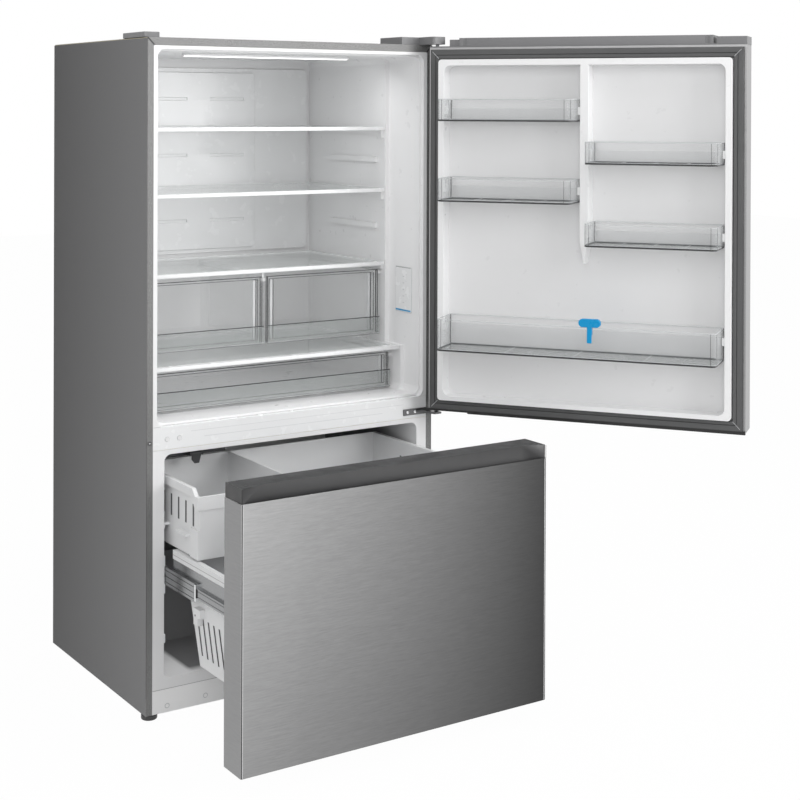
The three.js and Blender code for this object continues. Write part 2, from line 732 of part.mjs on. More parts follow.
function makeMullion() {
  const bottom = MULLION_BOTTOM + SEAM;
  const top = MULLION_TOP - SEAM;
  const channel = outline([
    [0, bottom], [MULLION_DEPTH, bottom], [MULLION_DEPTH, bottom + WALL], [WALL, bottom + WALL],
    [WALL, top - WALL], [MULLION_DEPTH, top - WALL], [MULLION_DEPTH, top], [0, top],
  ]);
  const half = FLANGE_INNER_HALF - SEAM;
  part(cabinet, 'mullion_rail', alongX(channel, -half, half), white);

  const kick = outline([
    [0, CASE_BOTTOM], [FLANGE_WIDTH / 2, CASE_BOTTOM], [FLANGE_WIDTH / 2, CASE_BOTTOM + FLANGE_THICKNESS],
    [FLANGE_THICKNESS, CASE_BOTTOM + FLANGE_THICKNESS], [FLANGE_THICKNESS, KICK_TOP - SEAM],
    [0, KICK_TOP - SEAM],
  ]);
  const footRoom = FOOT_X - FOOT_RADIUS - CLEAR;
  const plate = cut(
    alongX(kick, -half, half),
    box(footRoom, HALF, FLANGE_THICKNESS, FOOT_Y, 0, CASE_BOTTOM + CLEAR),
    box(-HALF, -footRoom, FLANGE_THICKNESS, FOOT_Y, 0, CASE_BOTTOM + CLEAR),
  );
  part(cabinet, 'kick_plate', plate, greyPlastic);
}

// ---- Base frame, feet, rollers and the rear cover ----
function makeBase() {
  const half = CASE_INNER_HALF - SEAM;
  const front = FLANGE_THICKNESS + SEAM + CLEAR;
  const back = CASE_DEPTH - MACHINE_COVER_THICKNESS - 2 * SEAM;
  const panTop = KICK_TOP - SEAM;
  const pan = box(-half, half, front, MACHINE_FRONT + TRAY_THICKNESS, panTop - TRAY_THICKNESS, panTop);
  const riser = box(
    -half, half, MACHINE_FRONT, MACHINE_FRONT + TRAY_THICKNESS,
    TRAY_BOTTOM, MACHINE_TOP + TRAY_THICKNESS - SEAM,
  );
  const ceiling = box(
    -half, half, MACHINE_FRONT, back, MACHINE_TOP - SEAM, MACHINE_TOP + TRAY_THICKNESS - SEAM,
  );
  const tray = box(-half, half, MACHINE_FRONT, back, TRAY_BOTTOM, TRAY_BOTTOM + TRAY_THICKNESS);
  const sideWall = box(half - TRAY_THICKNESS, half, front, back, TRAY_BOTTOM, panTop);
  const sideFlange = box(half - FLANGE_WIDTH, half, front, back, TRAY_BOTTOM, TRAY_BOTTOM + TRAY_THICKNESS);
  const footHole = rod(
    'z', FOOT_STEM_RADIUS + PIN_CLEARANCE, 0, panTop - TRAY_THICKNESS - OVERLAP, FOOT_X, FOOT_Y,
  );
  const earInner = ROLLER_WIDTH / 2 + CLEAR / 2;
  const earOuter = earInner + TRAY_THICKNESS;
  const ear = (low, high) => box(
    ROLLER_X + low, ROLLER_X + high, ROLLER_Y - ROLLER_RADIUS / 2, ROLLER_Y + ROLLER_RADIUS / 2,
    ROLLER_RADIUS - ROLLER_PIN_RADIUS * 2, TRAY_BOTTOM + TRAY_THICKNESS,
  );
  const pin = rod(
    'x', ROLLER_PIN_RADIUS, ROLLER_X - earOuter, ROLLER_X + earOuter, ROLLER_Y, ROLLER_RADIUS, 12,
  );
  const rollerRoom = box(
    ROLLER_X - earInner, ROLLER_X + earInner,
    ROLLER_Y - ROLLER_RADIUS - CLEAR, ROLLER_Y + ROLLER_RADIUS + CLEAR,
    TRAY_BOTTOM - OVERLAP, TRAY_BOTTOM + TRAY_THICKNESS + OVERLAP,
  );
  const side = union(sideWall, sideFlange, ear(-earOuter, -earInner), ear(earInner, earOuter));
  const sides = union(side, mirrored(side));
  const frame = cut(
    union(pan, riser, ceiling, tray, sides),
    footHole, mirrored(footHole), rollerRoom, mirrored(rollerRoom),
  );
  part(cabinet, 'base_frame', union(frame, pin, mirrored(pin)), zinc);
}

function makeFeet() {
  const foot = turned(
    [
      [0, 0], [FOOT_RADIUS - 2, 0], [FOOT_RADIUS, 2], [FOOT_RADIUS, FOOT_PAD],
      [FOOT_STEM_RADIUS * 1.6, FOOT_PAD], [FOOT_STEM_RADIUS * 1.6, TRAY_BOTTOM - SEAM],
      [FOOT_STEM_RADIUS, TRAY_BOTTOM - SEAM], [FOOT_STEM_RADIUS, FOOT_STEM_TOP], [0, FOOT_STEM_TOP],
    ],
    FOOT_X, FOOT_Y,
  );
  part(cabinet, 'left_front_foot', mirrored(foot), black);
  part(cabinet, 'right_front_foot', foot, black);

  const roller = cut(
    rod(
      'x', ROLLER_RADIUS, ROLLER_X - ROLLER_WIDTH / 2, ROLLER_X + ROLLER_WIDTH / 2,
      ROLLER_Y, ROLLER_RADIUS, 24,
    ),
    rod(
      'x', ROLLER_PIN_RADIUS + PIN_CLEARANCE, ROLLER_X - ROLLER_WIDTH, ROLLER_X + ROLLER_WIDTH,
      ROLLER_Y, ROLLER_RADIUS, 12,
    ),
  );
  part(cabinet, 'left_rear_roller', mirrored(roller), black);
  part(cabinet, 'right_rear_roller', roller, black);
}

function makeMachineCover() {
  const half = CASE_INNER_HALF - SEAM;
  const bottom = TRAY_BOTTOM + TRAY_THICKNESS;
  const top = MACHINE_TOP + TRAY_THICKNESS - SEAM;
  const plate = box(-half, half, CASE_DEPTH - MACHINE_COVER_THICKNESS, CASE_DEPTH, bottom, top);
  const columnPitch = (2 * half) / VENT_COLUMNS;
  const rowPitch = (top - bottom) / (VENT_ROWS + 1);
  const vents = [];
  for (let column = 0; column < VENT_COLUMNS; column += 1) {
    for (let row = 1; row <= VENT_ROWS; row += 1) {
      const x = -half + columnPitch * (column + 0.5);
      const z = bottom + rowPitch * row;
      vents.push(box(
        x - VENT_WIDTH / 2, x + VENT_WIDTH / 2, CASE_DEPTH - CLEAR * 2, CASE_DEPTH + OVERLAP,
        z - VENT_HEIGHT / 2, z + VENT_HEIGHT / 2,
      ));
    }
  }
  part(cabinet, 'machine_cover', cut(plate, ...vents), casePaint);
}

// ---- Cooling parts ----
// Fins across straight tubes, joined by return bends at both ends.
function finnedCoil(x0, x1, y, depth, z0, z1, rows) {
  const pieces = [];
  const pitch = (x1 - x0 - FIN_THICKNESS) / (FIN_COUNT - 1);
  for (let fin = 0; fin < FIN_COUNT; fin += 1) {
    const x = x0 + pitch * fin;
    pieces.push(box(x, x + FIN_THICKNESS, y - depth / 2, y + depth / 2, z0, z1));
  }
  const rowPitch = (z1 - z0) / rows;
  const tube = COIL_TUBE_RADIUS;
  for (let row = 0; row < rows; row += 1) {
    const z = z0 + rowPitch * (row + 0.5);
    pieces.push(rod('x', tube, x0 - tube * 3, x1 + tube * 3, y, z, 6));
    if (row < rows - 1) {
      const end = row % 2 ? x0 - tube * 3 : x1 + tube * 2;
      pieces.push(box(end, end + tube, y - tube / 2, y + tube / 2, z, z + rowPitch));
    }
  }
  return union(...pieces);
}

// A hub with pitched blades, its shaft hole along Y.
function fan(radius) {
  const blades = [];
  for (let blade = 0; blade < FAN_BLADES; blade += 1) {
    const geometry = new THREE.BoxGeometry(radius - FAN_HUB_RADIUS / 2, FAN_WIDTH * 0.9, 2);
    geometry.rotateX(THREE.MathUtils.degToRad(50));
    geometry.translate((radius + FAN_HUB_RADIUS / 2) / 2, 0, 0);
    geometry.rotateY((blade * 2 * Math.PI) / FAN_BLADES);
    blades.push(solid(geometry));
  }
  return cut(
    union(rod('y', FAN_HUB_RADIUS, -FAN_WIDTH / 2, FAN_WIDTH / 2, 0, 0), ...blades)
      .intersect(rod('y', radius, -FAN_WIDTH, FAN_WIDTH, 0, 0, 24)),
    rod('y', FAN_SHAFT_RADIUS + PIN_CLEARANCE, -FAN_WIDTH, FAN_WIDTH, 0, 0, 12),
  );
}

function makeMachineRoom() {
  const floor = TRAY_BOTTOM + TRAY_THICKNESS + SEAM;
  const foot = floor + FEET_GAP;
  const shell = turned(
    [
      [0, foot], [COMPRESSOR_RADIUS * 0.8, foot], [COMPRESSOR_RADIUS, foot + COMPRESSOR_HEIGHT * 0.12],
      [COMPRESSOR_RADIUS, floor + COMPRESSOR_HEIGHT * 0.7],
      [COMPRESSOR_RADIUS * 0.85, floor + COMPRESSOR_HEIGHT * 0.9],
      [COMPRESSOR_RADIUS * 0.4, floor + COMPRESSOR_HEIGHT], [0, floor + COMPRESSOR_HEIGHT],
    ],
    COMPRESSOR_X, MACHINE_Y, 20,
  );
  const plate = box(
    COMPRESSOR_X - COMPRESSOR_RADIUS * 1.3, COMPRESSOR_X + COMPRESSOR_RADIUS * 1.3,
    MACHINE_Y - COMPRESSOR_RADIUS * 0.8, MACHINE_Y + COMPRESSOR_RADIUS * 0.8, floor, foot + WALL,
  );
  part(cabinet, 'compressor', union(shell, plate), black);

  const left = CONDENSER_X - CONDENSER_HALF;
  const right = CONDENSER_X + CONDENSER_HALF;
  const coil = finnedCoil(
    left, right, MACHINE_Y - CONDENSER_SETBACK, CONDENSER_DEPTH,
    floor, floor + CONDENSER_HEIGHT, CONDENSER_ROWS,
  );
  const coilBack = MACHINE_Y - CONDENSER_SETBACK + CONDENSER_DEPTH / 2;
  const fanY = MACHINE_Y + CONDENSER_FAN_SETBACK;
  const fanZ = floor + CONDENSER_FAN_RADIUS + CLEAR * 3;
  const motorFront = coilBack - MOTOR_STRAP;
  const motor = union(
    rod('y', FAN_HUB_RADIUS, motorFront, fanY - FAN_WIDTH / 2 - CLEAR, CONDENSER_X, fanZ),
    rod('y', FAN_SHAFT_RADIUS, motorFront, fanY + FAN_WIDTH / 2, CONDENSER_X, fanZ, 12),
    box(
      left, right, motorFront, coilBack - OVERLAP / 2,
      fanZ - MOTOR_STRAP_HALF_HEIGHT, fanZ + MOTOR_STRAP_HALF_HEIGHT,
    ),
  );
  part(cabinet, 'condenser', union(coil, motor), zinc);
  const blades = part(cabinet, 'condenser_fan', fan(CONDENSER_FAN_RADIUS), greyPlastic);
  blades.position.set(CONDENSER_X, fanY, fanZ);
}

function makeEvaporator() {
  const y = EVAPORATOR_COVER_Y + EVAPORATOR_ROOM / 2 + COIL_TUBE_RADIUS;
  const coilBottom = HUMP_TOP + EVAPORATOR_LIFT;
  const coilTop = coilBottom + EVAPORATOR_HEIGHT;
  const coil = finnedCoil(
    -EVAPORATOR_HALF, EVAPORATOR_HALF, y, EVAPORATOR_DEPTH, coilBottom, coilTop, EVAPORATOR_ROWS,
  );
  part(cabinet, 'evaporator', coil, aluminium);

  const fanZ = (coilTop + FREEZER_TOP + EVAPORATOR_FAN_RADIUS) / 2;
  const coverBack = EVAPORATOR_COVER_Y + EVAPORATOR_COVER_THICKNESS;
  const fanY = coverBack + CLEAR * 2 + FAN_WIDTH / 2;
  const cover = box(
    -FREEZER_HALF + SEAM, FREEZER_HALF - SEAM, EVAPORATOR_COVER_Y, coverBack,
    HUMP_TOP + SEAM, FREEZER_TOP - LINER_CORNER,
  );
  const motorBack = FREEZER_BACK - CLEAR * 3;
  const armOut = EVAPORATOR_FAN_RADIUS * 1.5;
  const armIn = armOut - FAN_SHAFT_RADIUS * 2;
  const low = fanZ - FAN_SHAFT_RADIUS * 2;
  const high = fanZ + FAN_SHAFT_RADIUS * 2;
  const motor = union(
    rod('y', FAN_HUB_RADIUS, fanY + FAN_WIDTH / 2 + CLEAR, motorBack, 0, fanZ),
    rod('y', FAN_SHAFT_RADIUS, fanY - FAN_WIDTH / 2, motorBack, 0, fanZ, 12),
    box(-armOut, armOut, motorBack - CLEAR, motorBack, low, high),
    box(-armOut, -armIn, coverBack - OVERLAP, motorBack, low, high),
    box(armIn, armOut, coverBack - OVERLAP, motorBack, low, high),
  );
  const grille = [];
  for (let row = 0; row < GRILLE_ROWS; row += 1) {
    const z = fanZ + (row - (GRILLE_ROWS - 1) / 2) * GRILLE_PITCH;
    grille.push(box(
      -GRILLE_HALF, GRILLE_HALF, EVAPORATOR_COVER_Y - OVERLAP, coverBack + OVERLAP,
      z - GRILLE_HEIGHT / 2, z + GRILLE_HEIGHT / 2,
    ));
  }
  part(cabinet, 'evaporator_cover', union(cut(cover, ...grille), motor), white);
  const blades = part(cabinet, 'evaporator_fan', fan(EVAPORATOR_FAN_RADIUS), greyPlastic);
  blades.position.set(0, fanY, fanZ);
}

// ---- Fittings of the fresh food compartment ----
function shelf(top, front) {
  const low = top - SHELF_THICKNESS;
  const ledgeTop = top - GLASS_THICKNESS - SEAM;
  const frame = cut(
    box(-SHELF_HALF, SHELF_HALF, front, SHELF_BACK, low, top),
    box(
      -SHELF_HALF + SHELF_RIM, SHELF_HALF - SHELF_RIM, front + SHELF_RIM, SHELF_BACK - SHELF_RIM,
      ledgeTop, top + OVERLAP,
    ),
    box(
      -SHELF_HALF + SHELF_RIM + GLASS_LEDGE, SHELF_HALF - SHELF_RIM - GLASS_LEDGE,
      front + SHELF_RIM + GLASS_LEDGE, SHELF_BACK - SHELF_RIM - GLASS_LEDGE, low - OVERLAP, top + OVERLAP,
    ),
  );
  const inset = SHELF_RIM + SEAM;
  const pane = box(
    -SHELF_HALF + inset, SHELF_HALF - inset, front + inset, SHELF_BACK - inset, top - GLASS_THICKNESS, top,
  );
  return { frame, pane };
}

// A cover is one moulding: the pane is bonded into its frame.
function bondedShelf(top, front) {
  return box(-SHELF_HALF, SHELF_HALF, front, SHELF_BACK, top - SHELF_THICKNESS, top);
}

function makeShelves() {
  const upper = shelf(UPPER_SHELF_TOP, SHELF_ZONE_FRONT + SEAM);
  part(cabinet, 'upper_shelf_frame', upper.frame, white);
  part(cabinet, 'upper_shelf_glass', upper.pane, glass);
  const middle = shelf(MIDDLE_SHELF_TOP, SHELF_ZONE_FRONT + SEAM);
  part(cabinet, 'middle_shelf_frame', middle.frame, white);
  part(cabinet, 'middle_shelf_glass', middle.pane, glass);

  const low = CRISPER_COVER_TOP - SHELF_THICKNESS;
  const hangerFront = CRISPER_FRONT + CLEAR;
  const hangerBottom = CRISPER_RAIL_TOP - RIB_HEIGHT;
  const hanger = union(
    box(-HANGER_HALF, HANGER_HALF, hangerFront, SHELF_BACK, hangerBottom, low + OVERLAP),
    box(-HANGER_FOOT, HANGER_FOOT, hangerFront, SHELF_BACK, hangerBottom, CRISPER_RAIL_TOP),
  );
  const cover = union(bondedShelf(CRISPER_COVER_TOP, SHELF_ZONE_FRONT + SEAM), hanger);
  part(cabinet, 'crisper_cover', cover, glass);
  part(cabinet, 'deli_cover', bondedShelf(DELI_COVER_TOP, DELI_ZONE_FRONT + SEAM), glass);
}

// An open tub with side flanges that hang on rails, and a front with a finger lip.
function slidingTub(x0, x1, leftFlange, rightFlange, front, length, bottom, top, lipTop, frontX) {
  const faceY = front - LIP_THICKNESS;
  const lipY = faceY - LIP_GAP - LIP_THICKNESS;
  const low = bottom - TUB_WALL;
  const faceTop = top - TUB_FLANGE / 2;
  const face = outline([
    [front, low], [front, faceTop], [faceY, faceTop], [faceY, bottom + TUB_WALL],
    [lipY + LIP_THICKNESS, bottom + TUB_WALL], [lipY + LIP_THICKNESS, lipTop], [lipY, lipTop], [lipY, low],
  ]);
  const flange = (low, high) => box(
    low, high, front + TUB_FLANGE_SETBACK, front + length - TUB_WALL,
    top - TUB_FLANGE_DROP - TUB_FLANGE, top - TUB_FLANGE_DROP,
  );
  return cut(
    union(
      box(x0, x1, front, front + length, bottom, top),
      alongX(face, frontX[0], frontX[1]),
      flange(x0 - leftFlange, x0 + 1),
      flange(x1 - 1, x1 + rightFlange),
    ),
    box(
      x0 + TUB_WALL, x1 - TUB_WALL, front + TUB_WALL, front + length - TUB_WALL,
      bottom + TUB_WALL, top + OVERLAP,
    ),
  );
}

function makeTubs() {
  const inner = HANGER_FOOT + CLEAR;
  const innerFlange = inner - HANGER_HALF - CLEAR / 2;
  const outerFlange = TUB_SIDE_GAP - CLEAR;
  const face = [HANGER_HALF + CLEAR, TUB_HALF + CLEAR];
  const crisper = slidingTub(
    inner, TUB_HALF, innerFlange, outerFlange, CRISPER_FRONT - SEAM, CRISPER_LENGTH,
    CRISPER_BOTTOM, CRISPER_TOP, CRISPER_LIP_TOP, face,
  );
  part(cabinet, 'left_crisper', mirrored(crisper), clear);
  part(cabinet, 'right_crisper', crisper, clear);

  const deli = slidingTub(
    -TUB_HALF, TUB_HALF, outerFlange, outerFlange, DELI_FRONT, DELI_LENGTH,
    DELI_BOTTOM, DELI_TOP, DELI_LIP_TOP, [-TUB_HALF - CLEAR, TUB_HALF + CLEAR],
  );
  part(cabinet, 'deli_drawer', deli, clear);
}

function makeFridgeFittings() {
  const back = FRIDGE_BACK - SEAM;
  const vents = [];
  const gaps = [
    (UPPER_SHELF_TOP + DUCT_TOP) / 2,
    (MIDDLE_SHELF_TOP + UPPER_SHELF_TOP) / 2,
    (CRISPER_COVER_TOP + MIDDLE_SHELF_TOP) / 2,
  ];
  for (const z of gaps) {
    for (const x of [-DUCT_HALF / 2, DUCT_HALF / 2]) {
      vents.push(box(
        x - DUCT_VENT_WIDTH / 2, x + DUCT_VENT_WIDTH / 2,
        back - DUCT_THICKNESS - OVERLAP, back - DUCT_THICKNESS + BACK_PLATE_THICKNESS / 2,
        z - DUCT_VENT_HEIGHT / 2, z + DUCT_VENT_HEIGHT / 2,
      ));
    }
  }
  const plateHalf = REAR_ZONE_HALF - BACK_PLATE_SIDE_GAP;
  const plateTop = FRIDGE_CEILING - BACK_PLATE_TOP_GAP;
  const duct = union(
    alongY(
      rounded(-DUCT_HALF, DUCT_HALF, DUCT_BOTTOM, DUCT_TOP, DUCT_THICKNESS), back - DUCT_THICKNESS, back,
    ),
    alongY(
      rounded(-plateHalf, plateHalf, DUCT_BOTTOM - DUCT_THICKNESS, plateTop, LINER_CORNER),
      back - BACK_PLATE_THICKNESS, back,
    ),
  );
  part(cabinet, 'air_duct', cut(duct, ...vents), white);

  const light = alongZ(
    rounded(-LIGHT_HALF, LIGHT_HALF, LIGHT_Y - LIGHT_WIDTH / 2, LIGHT_Y + LIGHT_WIDTH / 2, LIGHT_WIDTH / 4),
    FRIDGE_CEILING - SEAM - LIGHT_THICKNESS, FRIDGE_CEILING - SEAM,
  );
  part(cabinet, 'ceiling_light', light, lamp);

  const panel = alongX(
    rounded(
      PANEL_Y - PANEL_WIDTH / 2, PANEL_Y + PANEL_WIDTH / 2, PANEL_BOTTOM, PANEL_BOTTOM + PANEL_HEIGHT, 3,
    ),
    FRONT_ZONE_HALF - SEAM - PANEL_THICKNESS, FRONT_ZONE_HALF - SEAM,
  );
  part(cabinet, 'control_panel', panel, white);
}

// ---- Ice maker and level arm ----
function makeIceMaker() {
  const top = FREEZER_TOP - SEAM;
  const body = box(
    ICE_MAKER_LEFT, ICE_MAKER_RIGHT, ICE_MAKER_FRONT, ICE_MAKER_BACK, ICE_MAKER_BOTTOM, top,
  );
  const tray = cut(
    body,
    box(
      ICE_MAKER_LEFT + ICE_TRAY_WALL, ICE_MAKER_RIGHT - ICE_TRAY_WALL,
      ICE_MAKER_FRONT + ICE_TRAY_WALL * 2, ICE_MAKER_BACK - ICE_TRAY_WALL,
      ICE_MAKER_BOTTOM - OVERLAP, ICE_MAKER_BOTTOM + ICE_TRAY_DEPTH,
    ),
  );
  const gap = ARM_WIDTH / 2 + SEAM;
  const ear = (x) => box(
    x, x + EAR_THICKNESS, ARM_PIVOT_Y - ARM_PIN_RADIUS * 2, ICE_MAKER_FRONT + OVERLAP,
    ARM_PIVOT_Z - ARM_PIN_RADIUS * 2, top,
  );
  const reach = gap + OVERLAP;
  const pin = rod('x', ARM_PIN_RADIUS, ARM_X - reach, ARM_X + reach, ARM_PIVOT_Y, ARM_PIVOT_Z, 12);
  const maker = union(tray, ear(ARM_X - gap - EAR_THICKNESS), ear(ARM_X + gap), pin);
  part(cabinet, 'ice_maker', maker, greyPlastic);

  const hubRadius = ARM_PIN_RADIUS * 2;
  const arm = cut(
    union(
      rod('x', hubRadius, ARM_X - ARM_WIDTH / 2, ARM_X + ARM_WIDTH / 2, ARM_PIVOT_Y, ARM_PIVOT_Z, 12),
      alongY(
        outline([
          [ARM_X - ARM_WIDTH / 2, ARM_PIVOT_Z], [ARM_X - ARM_WIDTH / 2, ARM_PIVOT_Z - ARM_LENGTH * 0.6],
          [ARM_X - ARM_WIDTH / 5, ARM_PIVOT_Z - ARM_LENGTH],
          [ARM_X + ARM_WIDTH / 4, ARM_PIVOT_Z - ARM_LENGTH],
          [ARM_X + ARM_WIDTH / 2, ARM_PIVOT_Z],
        ]),
        ARM_PIVOT_Y - hubRadius, ARM_PIVOT_Y - hubRadius + ARM_SHEET,
      ),
    ),
    rod(
      'x', ARM_PIN_RADIUS + PIN_CLEARANCE, ARM_X - ARM_WIDTH, ARM_X + ARM_WIDTH, ARM_PIVOT_Y, ARM_PIVOT_Z, 12,
    ),
  );
  part(cabinet, 'ice_level_arm', arm, darkPlastic);
}

// ---- Hinges and their covers ----
function makeHinges() {
  const low = HINGE_CASE_Z;
  const armTip = HINGE_Y - (ARM_FRONT + HINGE_Y);
  const plate = union(
    box(
      HINGE_X - COVER_WIDTH * 0.6, HALF - CASE_CORNER - CLEAR, CLEAR * 4, COVER_DEPTH * 0.8,
      low, low + HINGE_PLATE,
    ),
    box(
      HINGE_X - ARM_HALF_WIDTH, HINGE_X + COVER_ARM_RIGHT - CLEAR * 2, armTip, CLEAR * 5,
      low, low + HINGE_PLATE,
    ),
  );
  const pin = rod('z', HINGE_PIN_RADIUS, low - TOP_PIN_LENGTH, low + HINGE_PLATE, HINGE_X, HINGE_Y);
  part(cabinet, 'top_hinge', union(plate, pin), zinc);

  const coverTop = low + COVER_HEIGHT;
  const casePart = box(
    HALF - COVER_WIDTH, HALF - CLEAR / 2, CLEAR, COVER_DEPTH + CLEAR, low, coverTop,
  );
  const armPart = alongZ(
    rounded(
      HINGE_X - COVER_ARM_HALF, HINGE_X + COVER_ARM_RIGHT, -COVER_ARM_FRONT, CLEAR * 2,
      [COVER_ARM_CORNER, COVER_ARM_CORNER, 0, 0],
    ),
    low - SEAM, coverTop,
  );
  const bracketRoom = union(
    box(
      HINGE_X - COVER_WIDTH * 0.6 - SEAM, HALF - CASE_CORNER - CLEAR + SEAM,
      CLEAR * 4 - SEAM, COVER_DEPTH * 0.8 + SEAM, low - OVERLAP, low + HINGE_PLATE + SEAM,
    ),
    box(
      HINGE_X - ARM_HALF_WIDTH - SEAM, HINGE_X + COVER_ARM_RIGHT - CLEAR * 2 + SEAM,
      armTip - SEAM, CLEAR * 5 + SEAM, low - OVERLAP, low + HINGE_PLATE + SEAM,
    ),
  );
  part(cabinet, 'top_hinge_cover', cut(union(casePart, armPart), bracketRoom), greyPlastic);

  const leftCover = box(
    -HALF + CLEAR, -HALF + CLEAR + LEFT_COVER_WIDTH, FLANGE_WIDTH, FLANGE_WIDTH + COVER_DEPTH,
    low, low + LEFT_COVER_HEIGHT,
  );
  part(cabinet, 'left_top_cover', leftCover, greyPlastic);

  const faceY = -SEAM;
  const armTop = MIDDLE_ARM_BOTTOM + MIDDLE_ARM_THICKNESS;
  const middle = union(
    box(
      FLANGE_INNER_HALF - MIDDLE_PLATE_WIDTH, FLANGE_INNER_HALF - CLEAR,
      faceY - HINGE_PLATE, faceY, MIDDLE_PLATE_BOTTOM, MIDDLE_PLATE_TOP,
    ),
    alongZ(
      outline([
        [FLANGE_INNER_HALF - MIDDLE_PLATE_WIDTH / 2, faceY], [HINGE_X - ARM_HALF_WIDTH, -ARM_FRONT],
        [HINGE_X + COVER_ARM_RIGHT / 2, -ARM_FRONT], [HINGE_X + COVER_ARM_RIGHT - CLEAR, faceY],
      ]),
      MIDDLE_ARM_BOTTOM, armTop,
    ),
    rod('z', HINGE_PIN_RADIUS, MIDDLE_ARM_BOTTOM, MIDDLE_PIN_TOP, HINGE_X, HINGE_Y),
  );
  part(cabinet, 'middle_hinge', middle, darkPlastic);
}

// ---- Door ----
function hingeBore(z0, z1) {
  return rod('z', HINGE_PIN_RADIUS + PIN_CLEARANCE, z0, z1, HINGE_X, HINGE_Y);
}

// A steel pan: front, sides, bottom and a narrow return round the back.
function steelPan(outerY, backY, z0, z1, backTop) {
  const shape = rounded(-HALF, HALF, outerY, backY, [SKIN_CORNER, SKIN_CORNER, 0, 0]);
  const hollow = rounded(
    -HALF + SHEET, HALF - SHEET, outerY + SHEET, backY - SHEET, [FOAM_CORNER, FOAM_CORNER, 0, 0],
  );
  return cut(
    alongZ(shape, z0, z1),
    alongZ(hollow, z0 + SHEET, z1 + OVERLAP),
    box(
      -HALF + PAN_RETURN, HALF - PAN_RETURN, backY - SHEET - OVERLAP, backY + OVERLAP,
      z0 + PAN_RETURN, backTop,
    ),
  );
}

function doorLinerShape(margin) {
  const rimHalf = HALF - LINER_INSET + margin;
  const flangeHalf = HALF - GASKET_INSET - GASKET_WIDTH / 2 + margin;
  const flangeReach = GASKET_INSET + GASKET_WIDTH / 2 - margin;
  const rim = rounded(
    -rimHalf, rimHalf, DOOR_BOTTOM + LINER_INSET - margin, DOOR_TOP - LINER_INSET + margin, LINER_CORNER / 2,
  );
  const tub = rounded(
    -RECESS_HALF - WALL - margin, RECESS_HALF + WALL + margin,
    RECESS_BOTTOM - WALL - margin, RECESS_TOP + WALL + margin, LINER_CORNER,
  );
  return union(
    box(
      -flangeHalf, flangeHalf, DOOR_INNER_Y - WALL - margin, DOOR_INNER_Y,
      DOOR_BOTTOM + flangeReach, DOOR_TOP - flangeReach,
    ),
    alongY(rim, DOOR_INNER_Y - WALL - margin, DOOR_RIM_Y),
    alongY(tub, RECESS_FLOOR_Y - WALL - margin, DOOR_INNER_Y),
  );
}

function hooks(x, side, z1) {
  const inside = x - side * TUB_WALL / 2;
  const outside = x + side * HOOK_DEPTH;
  return box(
    Math.min(inside, outside), Math.max(inside, outside), -HOOK_HALF_WIDTH, HOOK_HALF_WIDTH,
    z1 - HOOK_DROP - HOOK_HEIGHT, z1 - HOOK_DROP,
  );
}

// Side walls of the recess and of the divider that each bin hangs between.
const NEAR_WALLS = [DIVIDER_X + DIVIDER_WIDTH / 2, RECESS_HALF];
const FAR_WALLS = [-RECESS_HALF, DIVIDER_X - DIVIDER_WIDTH / 2];
const WHOLE_WALLS = [-RECESS_HALF, RECESS_HALF];
function heights({ drop, height }) {
  return [DOOR_TOP - drop - height, DOOR_TOP - drop];
}

const BINS = [
  { name: 'spice_bin', height: heights(SPICE_BIN), walls: NEAR_WALLS },
  { name: 'jar_bin', height: heights(JAR_BIN), walls: NEAR_WALLS },
  { name: 'bottle_bin', height: heights(BOTTLE_BIN), walls: FAR_WALLS },
  { name: 'can_bin', height: heights(CAN_BIN), walls: FAR_WALLS },
  { name: 'gallon_bin', height: [GALLON_BIN_TOP - GALLON_BIN_HEIGHT, GALLON_BIN_TOP], walls: WHOLE_WALLS },
];

function bin({ height: [z0, z1], walls }) {
  const x0 = walls[0] + BIN_SIDE_GAP;
  const x1 = walls[1] - BIN_SIDE_GAP;
  const y0 = RECESS_FLOOR_Y + BIN_BACK_GAP;
  const round = [0, 0, BIN_CORNER, BIN_CORNER];
  const inner = BIN_CORNER - TUB_WALL;
  return cut(
    union(
      alongZ(rounded(x0, x1, y0, BIN_FRONT_Y, round), z0, z1),
      hooks(x0, -1, z1),
      hooks(x1, 1, z1),
    ),
    alongZ(
      rounded(x0 + TUB_WALL, x1 - TUB_WALL, y0 + TUB_WALL, BIN_FRONT_Y - TUB_WALL, [0, 0, inner, inner]),
      z0 + TUB_WALL, z1 + OVERLAP,
    ),
    box(
      x0 + TUB_WALL, x1 - TUB_WALL, y0 - OVERLAP, y0 + TUB_WALL + OVERLAP,
      z1 - BIN_BACK_DROP, z1 + OVERLAP,
    ),
  );
}

// Lugs under a bin's hooks, standing out of the walls beside it.
function lugs({ height: [, z1], walls }) {
  const top = z1 - HOOK_DROP - HOOK_HEIGHT - SEAM;
  const reach = BIN_SIDE_GAP - CLEAR / 2;
  return union(
    box(walls[0] - OVERLAP, walls[0] + reach, -LUG_HALF_WIDTH, LUG_HALF_WIDTH, top - LUG_HEIGHT, top),
    box(walls[1] - reach, walls[1] + OVERLAP, -LUG_HALF_WIDTH, LUG_HALF_WIDTH, top - LUG_HEIGHT, top),
  );
}

